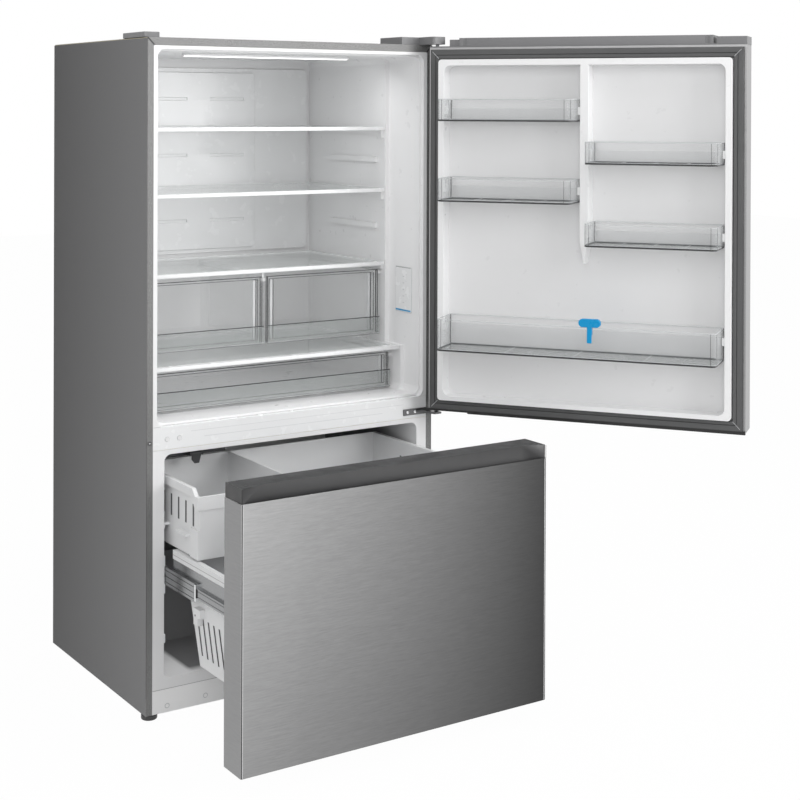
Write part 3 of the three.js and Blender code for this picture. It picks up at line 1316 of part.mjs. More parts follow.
function makeDoor() {
  const pan = cut(
    steelPan(DOOR_OUTER_Y, DOOR_INNER_Y, DOOR_BOTTOM, DOOR_TOP, DOOR_TOP - PAN_RETURN),
    hingeBore(DOOR_BOTTOM - OVERLAP, DOOR_BOTTOM + SHEET + OVERLAP),
  );
  part(door, 'door_skin', pan, steel);

  const inner = HALF - SHEET - SEAM;
  const filling = cut(
    alongZ(
      rounded(
        -inner, inner, DOOR_OUTER_Y + SHEET + SEAM, DOOR_INNER_Y - SHEET - SEAM,
        [FOAM_CORNER, FOAM_CORNER, 0, 0],
      ),
      DOOR_BOTTOM + SHEET + SEAM, DOOR_TOP - SEAM,
    ),
    doorLinerShape(SEAM),
    hingeBore(DOOR_BOTTOM - OVERLAP, MIDDLE_PIN_TOP + CLEAR),
    hingeBore(HINGE_CASE_Z - TOP_PIN_LENGTH - CLEAR, DOOR_TOP + OVERLAP),
  );
  part(door, 'door_insulation', filling, foam);

  const recess = alongY(
    rounded(-RECESS_HALF, RECESS_HALF, RECESS_BOTTOM, RECESS_TOP, LINER_CORNER),
    RECESS_FLOOR_Y, DOOR_RIM_Y + OVERLAP,
  );
  const dividerLeft = DIVIDER_X - DIVIDER_WIDTH / 2;
  const dividerRight = DIVIDER_X + DIVIDER_WIDTH / 2;
  const dividerBottom = heights(CAN_BIN)[0] - DIVIDER_REACH;
  const divider = alongY(
    outline([
      [dividerLeft, RECESS_TOP + OVERLAP], [dividerLeft, dividerBottom + DIVIDER_TAPER],
      [DIVIDER_X, dividerBottom], [dividerRight, dividerBottom + DIVIDER_TAPER],
      [dividerRight, RECESS_TOP + OVERLAP],
    ]),
    RECESS_FLOOR_Y - OVERLAP, DOOR_RIM_Y,
  );
  const liner = union(cut(doorLinerShape(0), recess), divider, ...BINS.map(lugs));
  part(door, 'door_liner', liner, white);

  const seal = gasket(
    HALF - GASKET_INSET, DOOR_BOTTOM + GASKET_INSET, DOOR_TOP - GASKET_INSET, GASKET_WIDTH,
    DOOR_INNER_Y + SEAM,
  );
  part(door, 'door_gasket', seal, rubber);

  makeDoorCap();
  for (const row of BINS) {
    part(door, row.name, bin(row), clear);
  }
}

// A plate along the top edge with a raised middle that stops short of the hinge.
function makeDoorCap() {
  const farEnd = -HALF + CAP_FAR_END;
  const nearEnd = HINGE_X - CAP_HINGE_SPACE;
  const left = farEnd + CAP_GROOVE;
  const right = nearEnd - CAP_NEAR_END;
  const middleTop = DOOR_TOP + CAP_MIDDLE_HEIGHT;
  const endTop = DOOR_TOP + CAP_END_HEIGHT;
  const notch = (x) => box(
    x, x + CAP_NOTCH, DOOR_INNER_Y - CAP_NOTCH_DEPTH, DOOR_INNER_Y + OVERLAP,
    CAP_BOTTOM + CAP_PLATE, middleTop + OVERLAP,
  );
  const cap = cut(
    union(
      box(-HALF, HALF, DOOR_OUTER_Y, DOOR_INNER_Y, CAP_BOTTOM, CAP_BOTTOM + CAP_PLATE),
      box(-HALF, farEnd, DOOR_OUTER_Y, DOOR_INNER_Y, CAP_BOTTOM, endTop),
      box(left, right, DOOR_OUTER_Y, DOOR_INNER_Y, CAP_BOTTOM, middleTop),
      box(
        right - OVERLAP, nearEnd, DOOR_OUTER_Y + CAP_NEAR_SETBACK, DOOR_INNER_Y - CAP_NEAR_SETBACK,
        CAP_BOTTOM, endTop,
      ),
    ),
    notch(left + CAP_NOTCH),
    notch(right - CAP_NOTCH * 2),
    hingeBore(CAP_BOTTOM - OVERLAP, CAP_BOTTOM + CAP_PLATE + OVERLAP),
  );
  part(door, 'door_top_cap', cap, greyPlastic);
}

// A flat ring held against the back of a panel.
function gasket(half, z0, z1, width, backY) {
  const outer = rounded(-half, half, z0, z1, 4);
  const inner = rounded(-half + width, half - width, z0 + width, z1 - width, 3);
  const room = alongY(inner, backY - OVERLAP, GASKET_FACE_Y + OVERLAP, 2);
  return cut(alongY(outer, backY, GASKET_FACE_Y, 2), room);
}

function makeBottleClip() {
  const top = GALLON_BIN_TOP + SEAM;
  const wallFront = BIN_FRONT_Y + SEAM;
  const wallBack = BIN_FRONT_Y - TUB_WALL - SEAM;
  const head = alongY(
    rounded(
      CLIP_X - CLIP_HEAD_WIDTH / 2, CLIP_X + CLIP_HEAD_WIDTH / 2, top, top + CLIP_HEAD_HEIGHT,
      CLIP_HEAD_HEIGHT / 2 - SEAM,
    ),
    wallBack - CLIP_PLATE, wallFront + CLIP_PLATE,
  );
  const stem = box(
    CLIP_X - CLIP_STEM_WIDTH / 2, CLIP_X + CLIP_STEM_WIDTH / 2, wallFront, wallFront + CLIP_PLATE,
    top - CLIP_STEM_LENGTH, top + CLIP_HEAD_HEIGHT / 2,
  );
  const tongue = box(
    CLIP_X - CLIP_STEM_WIDTH / 2, CLIP_X + CLIP_STEM_WIDTH / 2, wallBack - CLIP_PLATE, wallBack,
    top - CLIP_STEM_LENGTH / 2, top + CLIP_HEAD_HEIGHT / 2,
  );
  part(door, 'bottle_clip', union(head, stem, tongue), blue);
}

// ---- Freezer drawer ----
function makeDrawer() {
  const pan = steelPan(
    DRAWER_OUTER_Y, DRAWER_INNER_Y - SEAM, DRAWER_BOTTOM, DRAWER_STEEL_TOP, DRAWER_STEEL_TOP + OVERLAP,
  );
  part(drawer, 'drawer_skin', pan, steel);

  const inner = HALF - SHEET - SEAM;
  const rimHalf = FREEZER_HALF - PANEL_CLEARANCE;
  const handleFloor = DRAWER_STEEL_TOP - HANDLE_DROP;
  const cavityY = DRAWER_OUTER_Y + SHEET + SEAM;
  const pocketBack = DRAWER_OUTER_Y + HANDLE_DEPTH + WALL + SEAM;
  const rim = rounded(
    -rimHalf, rimHalf, FREEZER_FLOOR + PANEL_CLEARANCE, FREEZER_TOP - PANEL_CLEARANCE, LINER_CORNER / 2,
  );
  const core = cut(
    alongZ(
      rounded(
        -inner, inner, cavityY, DRAWER_INNER_Y - SHEET - 2 * SEAM, [FOAM_CORNER, FOAM_CORNER, 0, 0],
      ),
      DRAWER_BOTTOM + SHEET + SEAM, DRAWER_STEEL_TOP - SEAM,
    ),
    box(
      -inner - OVERLAP, inner + OVERLAP, cavityY - OVERLAP, pocketBack,
      handleFloor - WALL - SEAM, DRAWER_TOP,
    ),
  );
  const innerPanel = union(
    core,
    box(
      -HALF + FLANGE_WIDTH, HALF - FLANGE_WIDTH,
      DRAWER_INNER_Y - SHEET - 2 * SEAM - OVERLAP, DRAWER_INNER_Y,
      DRAWER_BOTTOM + PAN_RETURN + SEAM, DRAWER_STEEL_TOP - SEAM,
    ),
    alongY(rim, DRAWER_INNER_Y, PANEL_RIM_Y),
  );
  part(drawer, 'drawer_inner_panel', innerPanel, white);

  const seal = gasket(
    HALF - DRAWER_GASKET_INSET, DRAWER_GASKET_BOTTOM, DRAWER_GASKET_TOP, DRAWER_GASKET_WIDTH,
    DRAWER_INNER_Y + SEAM,
  );
  part(drawer, 'drawer_gasket', seal, rubber);
  makeHandle(handleFloor);
}

// A dark cap along the top edge with a scooped pocket behind the steel's upper edge.
function makeHandle(floorZ) {
  const low = DRAWER_STEEL_TOP + SEAM;
  const frontY = DRAWER_OUTER_Y + HANDLE_SET_BACK;
  const wallY = DRAWER_OUTER_Y + HANDLE_DEPTH;
  const half = HALF - HANDLE_SET_BACK;
  const troughHalf = HALF - SHEET - 2 * SEAM;
  const end = half - HANDLE_END;
  const block = box(-half, half, frontY, DRAWER_INNER_Y - SEAM, low, DRAWER_TOP);
  const trough = alongZ(
    rounded(
      -troughHalf, troughHalf, DRAWER_OUTER_Y + SHEET + SEAM, wallY + WALL, [FOAM_CORNER, FOAM_CORNER, 0, 0],
    ),
    floorZ - WALL, low + OVERLAP,
  );
  const taperAt = (y) => HANDLE_TAPER * (y - frontY) / (wallY - frontY);
  const scoop = (y, z0, z1) => {
    const mouth = end - taperAt(y);
    const back = end - HANDLE_TAPER;
    return alongZ(outline([[-mouth, y], [mouth, y], [back, wallY], [-back, wallY]]), z0, z1);
  };
  const handle = cut(
    union(block, trough),
    scoop(frontY - OVERLAP, low, DRAWER_TOP + OVERLAP),
    scoop(DRAWER_OUTER_Y + HANDLE_LIP + SHEET, floorZ, low + OVERLAP * 2),
  );
  part(drawer, 'drawer_handle', handle, darkPlastic);
}

// Upright or leaning slots through a side wall, the first one at the given Y.
function sideSlots({ count, width, pitch, bottom, top, lean }, firstY, x0, x1) {
  const slots = [];
  for (let slot = 0; slot < count; slot += 1) {
    const y = firstY + slot * pitch;
    const shape = outline([[y, bottom], [y + width, bottom], [y + width + lean, top], [y + lean, top]]);
    slots.push(alongX(shape, x0, x1));
  }
  return union(...slots);
}

function makeLowerBasket() {
  const profile = (margin, lid) => outline([
    [BASKET_FRONT + margin, LOWER_BASKET_BOTTOM + margin],
    [LOWER_FLOOR_BACK - margin, LOWER_BASKET_BOTTOM + margin],
    [LOWER_BEND_Y - margin, LOWER_BEND_Z + margin / 2],
    [LOWER_BASKET_BACK - margin, LOWER_SHOULDER_Z + margin],
    [LOWER_BASKET_BACK - margin, LOWER_BASKET_TOP + lid],
    [BASKET_FRONT + margin, LOWER_BASKET_TOP + lid],
  ]);
  const half = LOWER_BASKET_HALF;
  const tub = cut(
    alongX(profile(0, 0), -half, half),
    alongX(profile(BASKET_WALL, OVERLAP), -half + BASKET_WALL, half - BASKET_WALL),
  );
  const rimHalf = half + LOWER_RIM_WIDTH;
  const rimBottom = LOWER_BASKET_TOP - LOWER_RIM_HEIGHT;
  const underRim = box(
    half + BASKET_WALL, rimHalf - BASKET_WALL, BASKET_FRONT - OVERLAP, LOWER_BASKET_BACK - BASKET_WALL,
    rimBottom - OVERLAP, LOWER_BASKET_TOP - BASKET_WALL,
  );
  const rim = cut(
    box(-rimHalf, rimHalf, BASKET_FRONT, LOWER_BASKET_BACK, rimBottom, LOWER_BASKET_TOP),
    box(
      -half + OVERLAP, half - OVERLAP, BASKET_FRONT + OVERLAP, LOWER_BASKET_BACK - OVERLAP,
      rimBottom - OVERLAP, LOWER_BASKET_TOP + OVERLAP,
    ),
    underRim,
    mirrored(underRim),
  );
  const firstSlot = LOWER_FLOOR_BACK - LOWER_SLOT_GAP - (LOWER_SLOTS.count - 1) * LOWER_SLOTS.pitch;
  const slots = sideSlots(LOWER_SLOTS, firstSlot, half - BASKET_WALL - OVERLAP, half + OVERLAP);
  const blockFront = LOWER_FLOOR_BACK - HOOK_BLOCK_GAP;
  const blockMiddle = blockFront + HOOK_BLOCK_LENGTH / 3;
  const blockStep = (HOOK_BLOCK_BOTTOM + HOOK_BLOCK_TOP) / 2;
  const hookBlock = alongX(
    outline([
      [blockFront + HOOK_BLOCK_LENGTH, HOOK_BLOCK_BOTTOM], [blockFront + HOOK_BLOCK_LENGTH, HOOK_BLOCK_TOP],
      [blockFront, HOOK_BLOCK_TOP], [blockFront, blockStep], [blockMiddle, blockStep],
      [blockMiddle, HOOK_BLOCK_BOTTOM],
    ]),
    half - OVERLAP, half + HOOK_BLOCK_WIDTH,
  );
  const basket = union(cut(union(tub, rim), slots, mirrored(slots)), hookBlock, mirrored(hookBlock));
  part(drawer, 'lower_basket', basket, white);
}

function makeUpperBasket() {
  const half = UPPER_BASKET_HALF;
  const front = BASKET_FRONT;
  const wallFront = front + UPPER_BAND_PROUD;
  const back = UPPER_BASKET_BACK;
  const step = front + UPPER_BAND_STEP;
  const side = outline([
    [wallFront, UPPER_BASKET_BOTTOM], [back, UPPER_BASKET_BOTTOM], [back, UPPER_BASKET_TOP],
    [step, UPPER_BASKET_TOP], [step - UPPER_BAND_STEP / 2, UPPER_BASKET_FRONT_TOP],
    [wallFront, UPPER_BASKET_FRONT_TOP],
  ]);
  const pocket = (x0, x1) => box(
    x0, x1, wallFront + BASKET_WALL, back - BASKET_WALL,
    UPPER_BASKET_BOTTOM + BASKET_WALL, UPPER_BASKET_TOP + OVERLAP,
  );
  const tub = cut(
    alongX(side, -half, half),
    pocket(-half + BASKET_WALL, ICE_DIVIDER_X - BASKET_WALL / 2),
    pocket(ICE_DIVIDER_X + BASKET_WALL / 2, half - BASKET_WALL),
  );
  const rimHalf = half + UPPER_RIM_WIDTH;
  const rimBottom = UPPER_BASKET_TOP - UPPER_RIM_HEIGHT;
  const band = outline([
    [back, rimBottom], [back, UPPER_BASKET_TOP], [step, UPPER_BASKET_TOP],
    [step - UPPER_BAND_STEP / 2, UPPER_BASKET_FRONT_TOP], [front, UPPER_BASKET_FRONT_TOP],
    [front, UPPER_BAND_BOTTOM], [step - UPPER_BAND_STEP / 2, UPPER_BAND_BOTTOM], [step, rimBottom],
  ]);
  const rim = cut(
    alongX(band, -rimHalf, rimHalf),
    box(
      -half + OVERLAP, half - OVERLAP, wallFront + OVERLAP, back - OVERLAP,
      UPPER_BAND_BOTTOM - OVERLAP, UPPER_BASKET_TOP + OVERLAP,
    ),
  );
  const cornerBlock = box(
    half - OVERLAP, half + CORNER_BLOCK_PROUD, wallFront, front + CORNER_BLOCK_LENGTH,
    UPPER_BASKET_BOTTOM, CORNER_BLOCK_TOP,
  );
  const flange = (y0, y1) => box(
    half - OVERLAP, FREEZER_HALF - CLEAR, y0, y1,
    BASKET_RAIL_TOP + SEAM, BASKET_RAIL_TOP + SEAM + BASKET_FLANGE,
  );
  const ledgeFront = front + CORNER_BLOCK_LENGTH - OVERLAP;
  const sideBits = union(
    cornerBlock, flange(ledgeFront, ledgeFront + LEDGE_LENGTH), flange(front + BASKET_OUT, back),
  );
  const slots = sideSlots(UPPER_SLOTS, front + UPPER_SLOT_GAP, half - BASKET_WALL - OVERLAP, half + OVERLAP);
  const basket = union(cut(union(tub, rim), slots, mirrored(slots)), sideBits, mirrored(sideBits));
  part(upperBasketGroup, 'upper_basket', basket, white);
}

// ---- Telescopic slides: channel in the cabinet, channel between, bar on the drawer ----
function channel(outerX, z0, z1, y0, y1) {
  const shape = outline([
    [outerX, z0], [outerX, z1], [outerX - SLIDE_DEPTH, z1], [outerX - SLIDE_DEPTH, z1 - SLIDE_GAUGE],
    [outerX - SLIDE_GAUGE, z1 - SLIDE_GAUGE], [outerX - SLIDE_GAUGE, z0 + SLIDE_GAUGE],
    [outerX - SLIDE_DEPTH, z0 + SLIDE_GAUGE], [outerX - SLIDE_DEPTH, z0],
  ].reverse());
  return alongY(shape, y0, y1);
}

function makeSlides() {
  const wallX = FREEZER_HALF - SEAM;
  const outer = channel(wallX, SLIDE_BOTTOM, SLIDE_TOP, SLIDE_FRONT, SLIDE_BACK);
  part(cabinet, 'left_outer_slide', mirrored(outer), zinc);
  part(cabinet, 'right_outer_slide', outer, zinc);

  const step = SLIDE_GAUGE + SLIDE_GAP;
  const middle = channel(
    wallX - step, SLIDE_BOTTOM + step + SLIDE_STEP, SLIDE_TOP - step - SLIDE_STEP,
    MIDDLE_SLIDE_FRONT, MIDDLE_SLIDE_BACK,
  );
  part(middleSlides, 'left_middle_slide', mirrored(middle), zinc);
  part(middleSlides, 'right_middle_slide', middle, zinc);

  const barMiddle = (SLIDE_BOTTOM + SLIDE_TOP) / 2;
  const barX = wallX - 2 * step;
  const armX = wallX - step - SLIDE_DEPTH - SLIDE_GAP;
  const front = PANEL_RIM_Y + SEAM;
  const rimBottom = LOWER_BASKET_TOP - LOWER_RIM_HEIGHT - SEAM;
  const inner = union(
    box(
      armX - SLIDE_GAUGE, barX, front, INNER_SLIDE_BACK,
      barMiddle - INNER_BAR_HEIGHT / 2, barMiddle + INNER_BAR_HEIGHT / 2,
    ),
    box(armX - SLIDE_GAUGE, armX, front, LOWER_BASKET_BACK, barMiddle, rimBottom),
  );
  part(drawer, 'left_inner_slide', mirrored(inner), zinc);
  part(drawer, 'right_inner_slide', inner, zinc);
}

makeCase();
makeInsulation();
makeLiners();
makeMullion();
makeBase();
makeFeet();
makeMachineCover();
makeMachineRoom();
makeEvaporator();
makeShelves();
makeTubs();
makeFridgeFittings();
makeIceMaker();
makeHinges();
makeDoor();
makeBottleClip();
makeDrawer();
makeLowerBasket();
makeUpperBasket();
makeSlides();

// The origin goes under the middle of the whole object, on the floor.
refrigerator.updateMatrixWorld(true);
const bounds = new THREE.Box3().setFromObject(refrigerator, true);
const centre = bounds.getCenter(new THREE.Vector3());
cabinet.position.set(-centre.x, -centre.y, -bounds.min.z);

export default refrigerator;
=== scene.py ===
import json
import math

import bmesh
import bpy
from mathutils import Matrix, Vector


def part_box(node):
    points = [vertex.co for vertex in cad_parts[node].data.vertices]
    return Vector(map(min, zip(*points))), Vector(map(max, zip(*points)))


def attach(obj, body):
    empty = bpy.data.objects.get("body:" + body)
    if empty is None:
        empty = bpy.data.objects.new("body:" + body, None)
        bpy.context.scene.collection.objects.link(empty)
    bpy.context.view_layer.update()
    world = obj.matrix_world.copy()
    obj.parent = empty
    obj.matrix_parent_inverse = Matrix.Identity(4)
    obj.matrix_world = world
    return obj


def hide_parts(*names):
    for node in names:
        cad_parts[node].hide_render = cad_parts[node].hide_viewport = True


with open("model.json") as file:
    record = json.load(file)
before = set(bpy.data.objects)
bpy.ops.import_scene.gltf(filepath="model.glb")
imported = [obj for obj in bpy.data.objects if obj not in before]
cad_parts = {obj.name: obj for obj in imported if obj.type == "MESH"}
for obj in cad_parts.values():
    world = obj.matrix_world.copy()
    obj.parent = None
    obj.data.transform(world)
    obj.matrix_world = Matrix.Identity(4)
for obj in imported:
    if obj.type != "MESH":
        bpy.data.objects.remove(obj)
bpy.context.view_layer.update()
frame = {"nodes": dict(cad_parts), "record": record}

# Pieces are drawn in millimetres in the cabinet's own frame: X across from its middle, Y back from its
# front flange, Z up from the floor, with the door shut and the drawers pushed in. Materials, lights and
# the camera work in metres.
MM = 0.001
CASE_LOW, CASE_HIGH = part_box("outer_case")
SHIFT = Vector(((CASE_LOW.x + CASE_HIGH.x) / 2, CASE_LOW.y, 0))
HINGE = Vector((0.408, -0.042, 0))
DOOR_ANGLE = math.radians(126)
DRAWER_OUT = Vector((0, -0.408, 0))
MIDDLES_OUT = Vector((0, -0.204, 0))
UPPER_OUT = Vector((0, -0.172, 0))
CABINET = Matrix.Translation(SHIFT)
DOOR = (
    CABINET @ Matrix.Translation(HINGE) @ Matrix.Rotation(DOOR_ANGLE, 4, "Z") @ Matrix.Translation(-HINGE)
)

# What takes each body's pieces from their shut place to where they rest. CABINET does for all others.
BINS = ("spice_bin", "jar_bin", "bottle_bin", "can_bin", "gallon_bin")
PLACES = dict.fromkeys(("door", *BINS), DOOR)
PLACES["freezer_drawer"] = CABINET @ Matrix.Translation(DRAWER_OUT)
PLACES["slide_middles"] = CABINET @ Matrix.Translation(MIDDLES_OUT)
PLACES["upper_basket"] = CABINET @ Matrix.Translation(UPPER_OUT)
NODE_BODY = {
    node: body for body, nodes in frame["record"]["behaviour"]["bodies"].items() for node in nodes
}

# Sizes in millimetres that several pieces share.
FRONT_HALF = 420  # half the width of the door and of the drawer front
DOOR_FOOT, DOOR_TOP = 690, 1663
DRAWER_FACE = -92  # Y of the drawer front's outer face
SKIN_SPAN = (46, 640)  # Z of the drawer front's steel
FLUSH = (-0.35, 0.3)  # Y of a line that stands a hair proud of the flange


# ---------------------------------------------------------------- materials
NOISE_RANGE = (0.3, 0.7)  # most values of a noise lie between these
DRIFT = 6  # scale of a slow change of colour
SHADED_SPAN = (0.045, 0.641)  # Z over which painted shade darkens a steel front towards its foot
FLANGE_SKIN = 0.0014  # what lies within this of the front is painted as the flange
CASE_DEPTH = 0.62
UNEVEN = 35  # scale of the changes in the gloss


class Graph:
    """Short ways to build nodes. A value is a number or the output of another node."""

    def __init__(self, tree):
        self.tree = tree

    def node(self, kind, **settings):
        node = self.tree.nodes.new("ShaderNode" + kind)
        for name, setting in settings.items():
            setattr(node, name, setting)
        return node

    def feed(self, socket, value):
        if isinstance(value, bpy.types.NodeSocket):
            self.tree.links.new(value, socket)
        else:
            socket.default_value = value

    def noise(self, scale, detail=2.0, roughness=0.5, stretch=(1, 1, 1)):
        mapping = self.node("Mapping")
        self.feed(mapping.inputs["Vector"], self.node("TexCoord").outputs["Object"])
        self.feed(mapping.inputs["Scale"], stretch)
        noise = self.node("TexNoise")
        self.feed(noise.inputs["Vector"], mapping.outputs["Vector"])
        self.feed(noise.inputs["Scale"], scale)
        self.feed(noise.inputs["Detail"], detail)
        self.feed(noise.inputs["Roughness"], roughness)
        return noise.outputs["Fac"]

    def remap(self, value, low, high, to_low, to_high):
        node = self.node("MapRange")
        self.feed(node.inputs["Value"], value)
        self.feed(node.inputs["From Min"], low)
        self.feed(node.inputs["From Max"], high)
        self.feed(node.inputs["To Min"], to_low)
        self.feed(node.inputs["To Max"], to_high)
        return node.outputs["Result"]

    def calculate(self, operation, *values):
        node = self.node("Math", operation=operation)
        for socket, value in zip(node.inputs, values):
            self.feed(socket, value)
        return node.outputs[0]

    def mix(self, factor, low, high):
        node = self.node("Mix")
        self.feed(node.inputs["Factor"], factor)
        self.feed(node.inputs["A"], low)
        self.feed(node.inputs["B"], high)
        return node.outputs["Result"]

    def blend(self, factor, dark, light):
        """A mix of two colours, each of three numbers or the output of another node."""
        node = self.node("Mix", data_type="RGBA")
        self.feed(node.inputs["Factor"], factor)
        self.feed(node.inputs["A"], (*dark, 1) if isinstance(dark, tuple) else dark)
        self.feed(node.inputs["B"], (*light, 1) if isinstance(light, tuple) else light)
        return node.outputs["Result"]

    def place(self):
        """X, Y and Z of each point, in metres, while the part is at rest."""
        split = self.node("SeparateXYZ")
        self.feed(split.inputs["Vector"], self.node("TexCoord").outputs["Object"])
        return tuple(split.outputs)

    def direct_view(self):
        """One for what the camera sees, itself or through a gloss or a clear pane, else none."""
        path = self.node("LightPath").outputs
        seen = self.calculate("MAXIMUM", path["Is Camera Ray"], path["Is Glossy Ray"])
        return self.calculate("MAXIMUM", seen, path["Is Transmission Ray"])


class Finish(Graph):
    """A material, and the nodes that drive its shader."""

    def __init__(self, name):
        self.material = bpy.data.materials.new(name)
        self.material.use_nodes = True
        super().__init__(self.material.node_tree)
        self.shader = self.tree.nodes["Principled BSDF"]

    def drive(self, name, value):
        self.feed(self.shader.inputs[name], value)

    def bump(self, height, strength, distance):
        bump = self.node("Bump")
        self.feed(bump.inputs["Strength"], strength)
        self.feed(bump.inputs["Distance"], distance)
        self.feed(bump.inputs["Height"], height)
        self.drive("Normal", bump.outputs["Normal"])


def scaled(colour, share):
    """A colour with each part scaled, up to full."""
    return tuple(min(1, c * share) for c in colour)


def plastic(name, colour, roughness, spread=0.04, grain=900, bump=0.15, specular=0.5):
    """Moulded plastic: a fine grain, a slow drift of colour and a little unevenness in the gloss."""
    finish = Finish(name)
    slow = finish.noise(DRIFT, 3)
    finish.drive("Base Color", finish.blend(slow, scaled(colour, 1 - spread), scaled(colour, 1 + spread)))
    uneven = finish.noise(UNEVEN, 3)
    finish.drive("Roughness", finish.remap(uneven, *NOISE_RANGE, roughness * 0.85, roughness * 1.15))
    finish.drive("Specular IOR Level", specular)
    finish.bump(finish.noise(grain, 2), bump, 0.0002)
    return finish.material


def metal(name, colour, roughness, grain, stretch=(1, 1, 1)):
    """Bare metal: its grain changes the colour, the gloss and the height together."""
    finish = Finish(name)
    lines = finish.noise(grain, 4, 0.6, stretch)
    finish.drive("Metallic", 1)
    finish.drive("Base Color", finish.blend(lines, scaled(colour, 0.92), scaled(colour, 1.08)))
    finish.drive("Roughness", finish.remap(lines, *NOISE_RANGE, roughness * 0.8, roughness * 1.2))
    finish.bump(lines, 0.1, 0.0001)
    return finish.material


def brushed_steel(name, light, painted_shade=None):
    """Fine short streaks along the horizontal.

    The last argument gives painted shade: the share of the colour that is left at a front's right edge and
    at its foot."""
    finish = Finish(name)
    streaks = finish.remap(finish.noise(1, 3, 0.65, (26, 26, 380)), *NOISE_RANGE, 0, 0.6)
    hairs = finish.remap(finish.noise(1, 2, 0.6, (60, 60, 1100)), *NOISE_RANGE, 0, 0.4)
    lines = finish.calculate("ADD", streaks, hairs)
    colour = finish.blend(lines, scaled(light, 0.77), light)
    # Painted shade: the colour darkens towards the front's right edge and towards its foot.
    if painted_shade:
        right, foot = painted_shade
        x, _, z = finish.place()
        half = FRONT_HALF * MM
        across = finish.remap(x, SHIFT.x - half, SHIFT.x + half, 1, right)
        upwards = finish.remap(z, *SHADED_SPAN, foot, 1)
        colour = finish.blend(finish.calculate("MULTIPLY", across, upwards), (0.02, 0.02, 0.02), colour)
    finish.drive("Metallic", 1)
    finish.drive("Base Color", colour)
    finish.drive("Roughness", finish.remap(lines, 0.2, 0.8, 0.30, 0.40))
    finish.drive("Anisotropic", 0.5)
    finish.bump(lines, 0.08, 0.0002)
    return finish.material


def case_paint(name):
    """Textured dark grey sides with painted shade, paler towards the front, and a speckled silver flange.
    """
    finish = Finish(name)
    y = finish.place()[1]
    on_flange = finish.calculate("LESS_THAN", y, SHIFT.y + FLANGE_SKIN)
    forward = finish.remap(y, SHIFT.y + CASE_DEPTH, SHIFT.y, 0, 1)
    grain = finish.remap(finish.noise(700, 3, 0.6), 0.35, 0.65, 0, 1)
    # Painted shade: the sides' colour darkens from the front towards the back.
    painted_shade_tone = finish.blend(grain, (0.014, 0.014, 0.015), (0.027, 0.027, 0.028))
    pale = finish.blend(grain, (0.128, 0.128, 0.130), (0.172, 0.172, 0.175))
    side = finish.blend(forward, painted_shade_tone, pale)
    speckle = finish.remap(finish.noise(620, 2, 0.6), 0.40, 0.60, 0, 1)
    flange = finish.blend(speckle, (0.10, 0.10, 0.10), (0.29, 0.29, 0.287))
    finish.drive("Base Color", finish.blend(on_flange, side, flange))
    finish.drive("Roughness", finish.remap(grain, 0, 1, 0.38, 0.5))
    finish.drive("Metallic", 0.35)
    finish.bump(grain, 0.35, 0.0003)
    return finish.material


def liner_with_painted_shade(name, pale, painted_shade_tone):
    """The freezer's moulding.

    Painted shade darkens its walls a little way in, its floor farther back, and under the basket."""
    finish = Finish(name)
    x, y, z = finish.place()

    def inwards(start, end):
        """Rises from 0 to 1 between two depths behind the front."""
        return finish.remap(y, SHIFT.y + start, SHIFT.y + end, 0, 1)

    aside = finish.calculate("ABSOLUTE", finish.calculate("SUBTRACT", x, SHIFT.x))
    between_sides = finish.remap(aside, 0.285, 0.300, 1, 0)
    # Painted shadow of the basket on the floor between its sides.
    painted_basket_shadow = finish.calculate("MULTIPLY", between_sides, inwards(0.006, 0.04))
    floor = finish.calculate("MAXIMUM", inwards(0.15, 0.22), painted_basket_shadow)
    above_floor = finish.remap(z, 0.101, 0.125, 0, 1)
    depth = finish.mix(above_floor, floor, inwards(0.02, 0.20))
    slow = finish.noise(DRIFT, 3)
    front = finish.blend(slow, scaled(pale, 0.98), pale)
    back = finish.blend(slow, scaled(painted_shade_tone, 0.96), painted_shade_tone)
    finish.drive("Base Color", finish.blend(depth, front, back))
    finish.drive("Roughness", finish.remap(finish.noise(UNEVEN, 3), *NOISE_RANGE, 0.28, 0.36))
    finish.bump(finish.noise(700, 2), 0.05, 0.0002)
    return finish.material


def clear_plastic(name, tint, thin, thick, roughness=0.05):
    """Clear moulding: thin is its cover seen face on, thick where a wall is seen along its thickness."""
    finish = Finish(name)
    finish.drive("Base Color", finish.blend(finish.noise(4, 2), scaled(tint, 0.93), tint))
    weight = finish.node("LayerWeight")
    finish.feed(weight.inputs["Blend"], 0.35)
    finish.drive("Alpha", finish.remap(weight.outputs["Facing"], 0.1, 0.95, thin, thick))
    finish.drive("Roughness", finish.remap(finish.noise(20, 2), *NOISE_RANGE, roughness, roughness * 1.8))
    finish.drive("Specular IOR Level", 0.6)
    finish.bump(finish.noise(9, 2), 0.08, 0.002)
    return finish.material


def glowing(name, colour, strength):
    """A cover that gives light of its own."""
    finish = Finish(name)
    finish.drive("Base Color", finish.blend(finish.noise(60, 2), scaled(colour, 0.97), colour))
    finish.drive("Emission Color", (*colour, 1))
    finish.drive("Emission Strength", strength)
    finish.drive("Roughness", 0.4)
    return finish.material


# The drawer front's steel, with painted shade towards its right edge and its foot.
STEEL = brushed_steel("brushed_steel_front", (0.56, 0.56, 0.563), (0.12, 0.64))
# A darker copy of the steel for the drawer's side faces: painted shade.
SIDE_STEEL_PAINTED_SHADE = brushed_steel("brushed_steel_side_painted_shade", (0.32, 0.32, 0.323))
DOOR_STEEL = brushed_steel("brushed_steel_door", (0.44, 0.44, 0.443))
CASE = case_paint("case_paint")
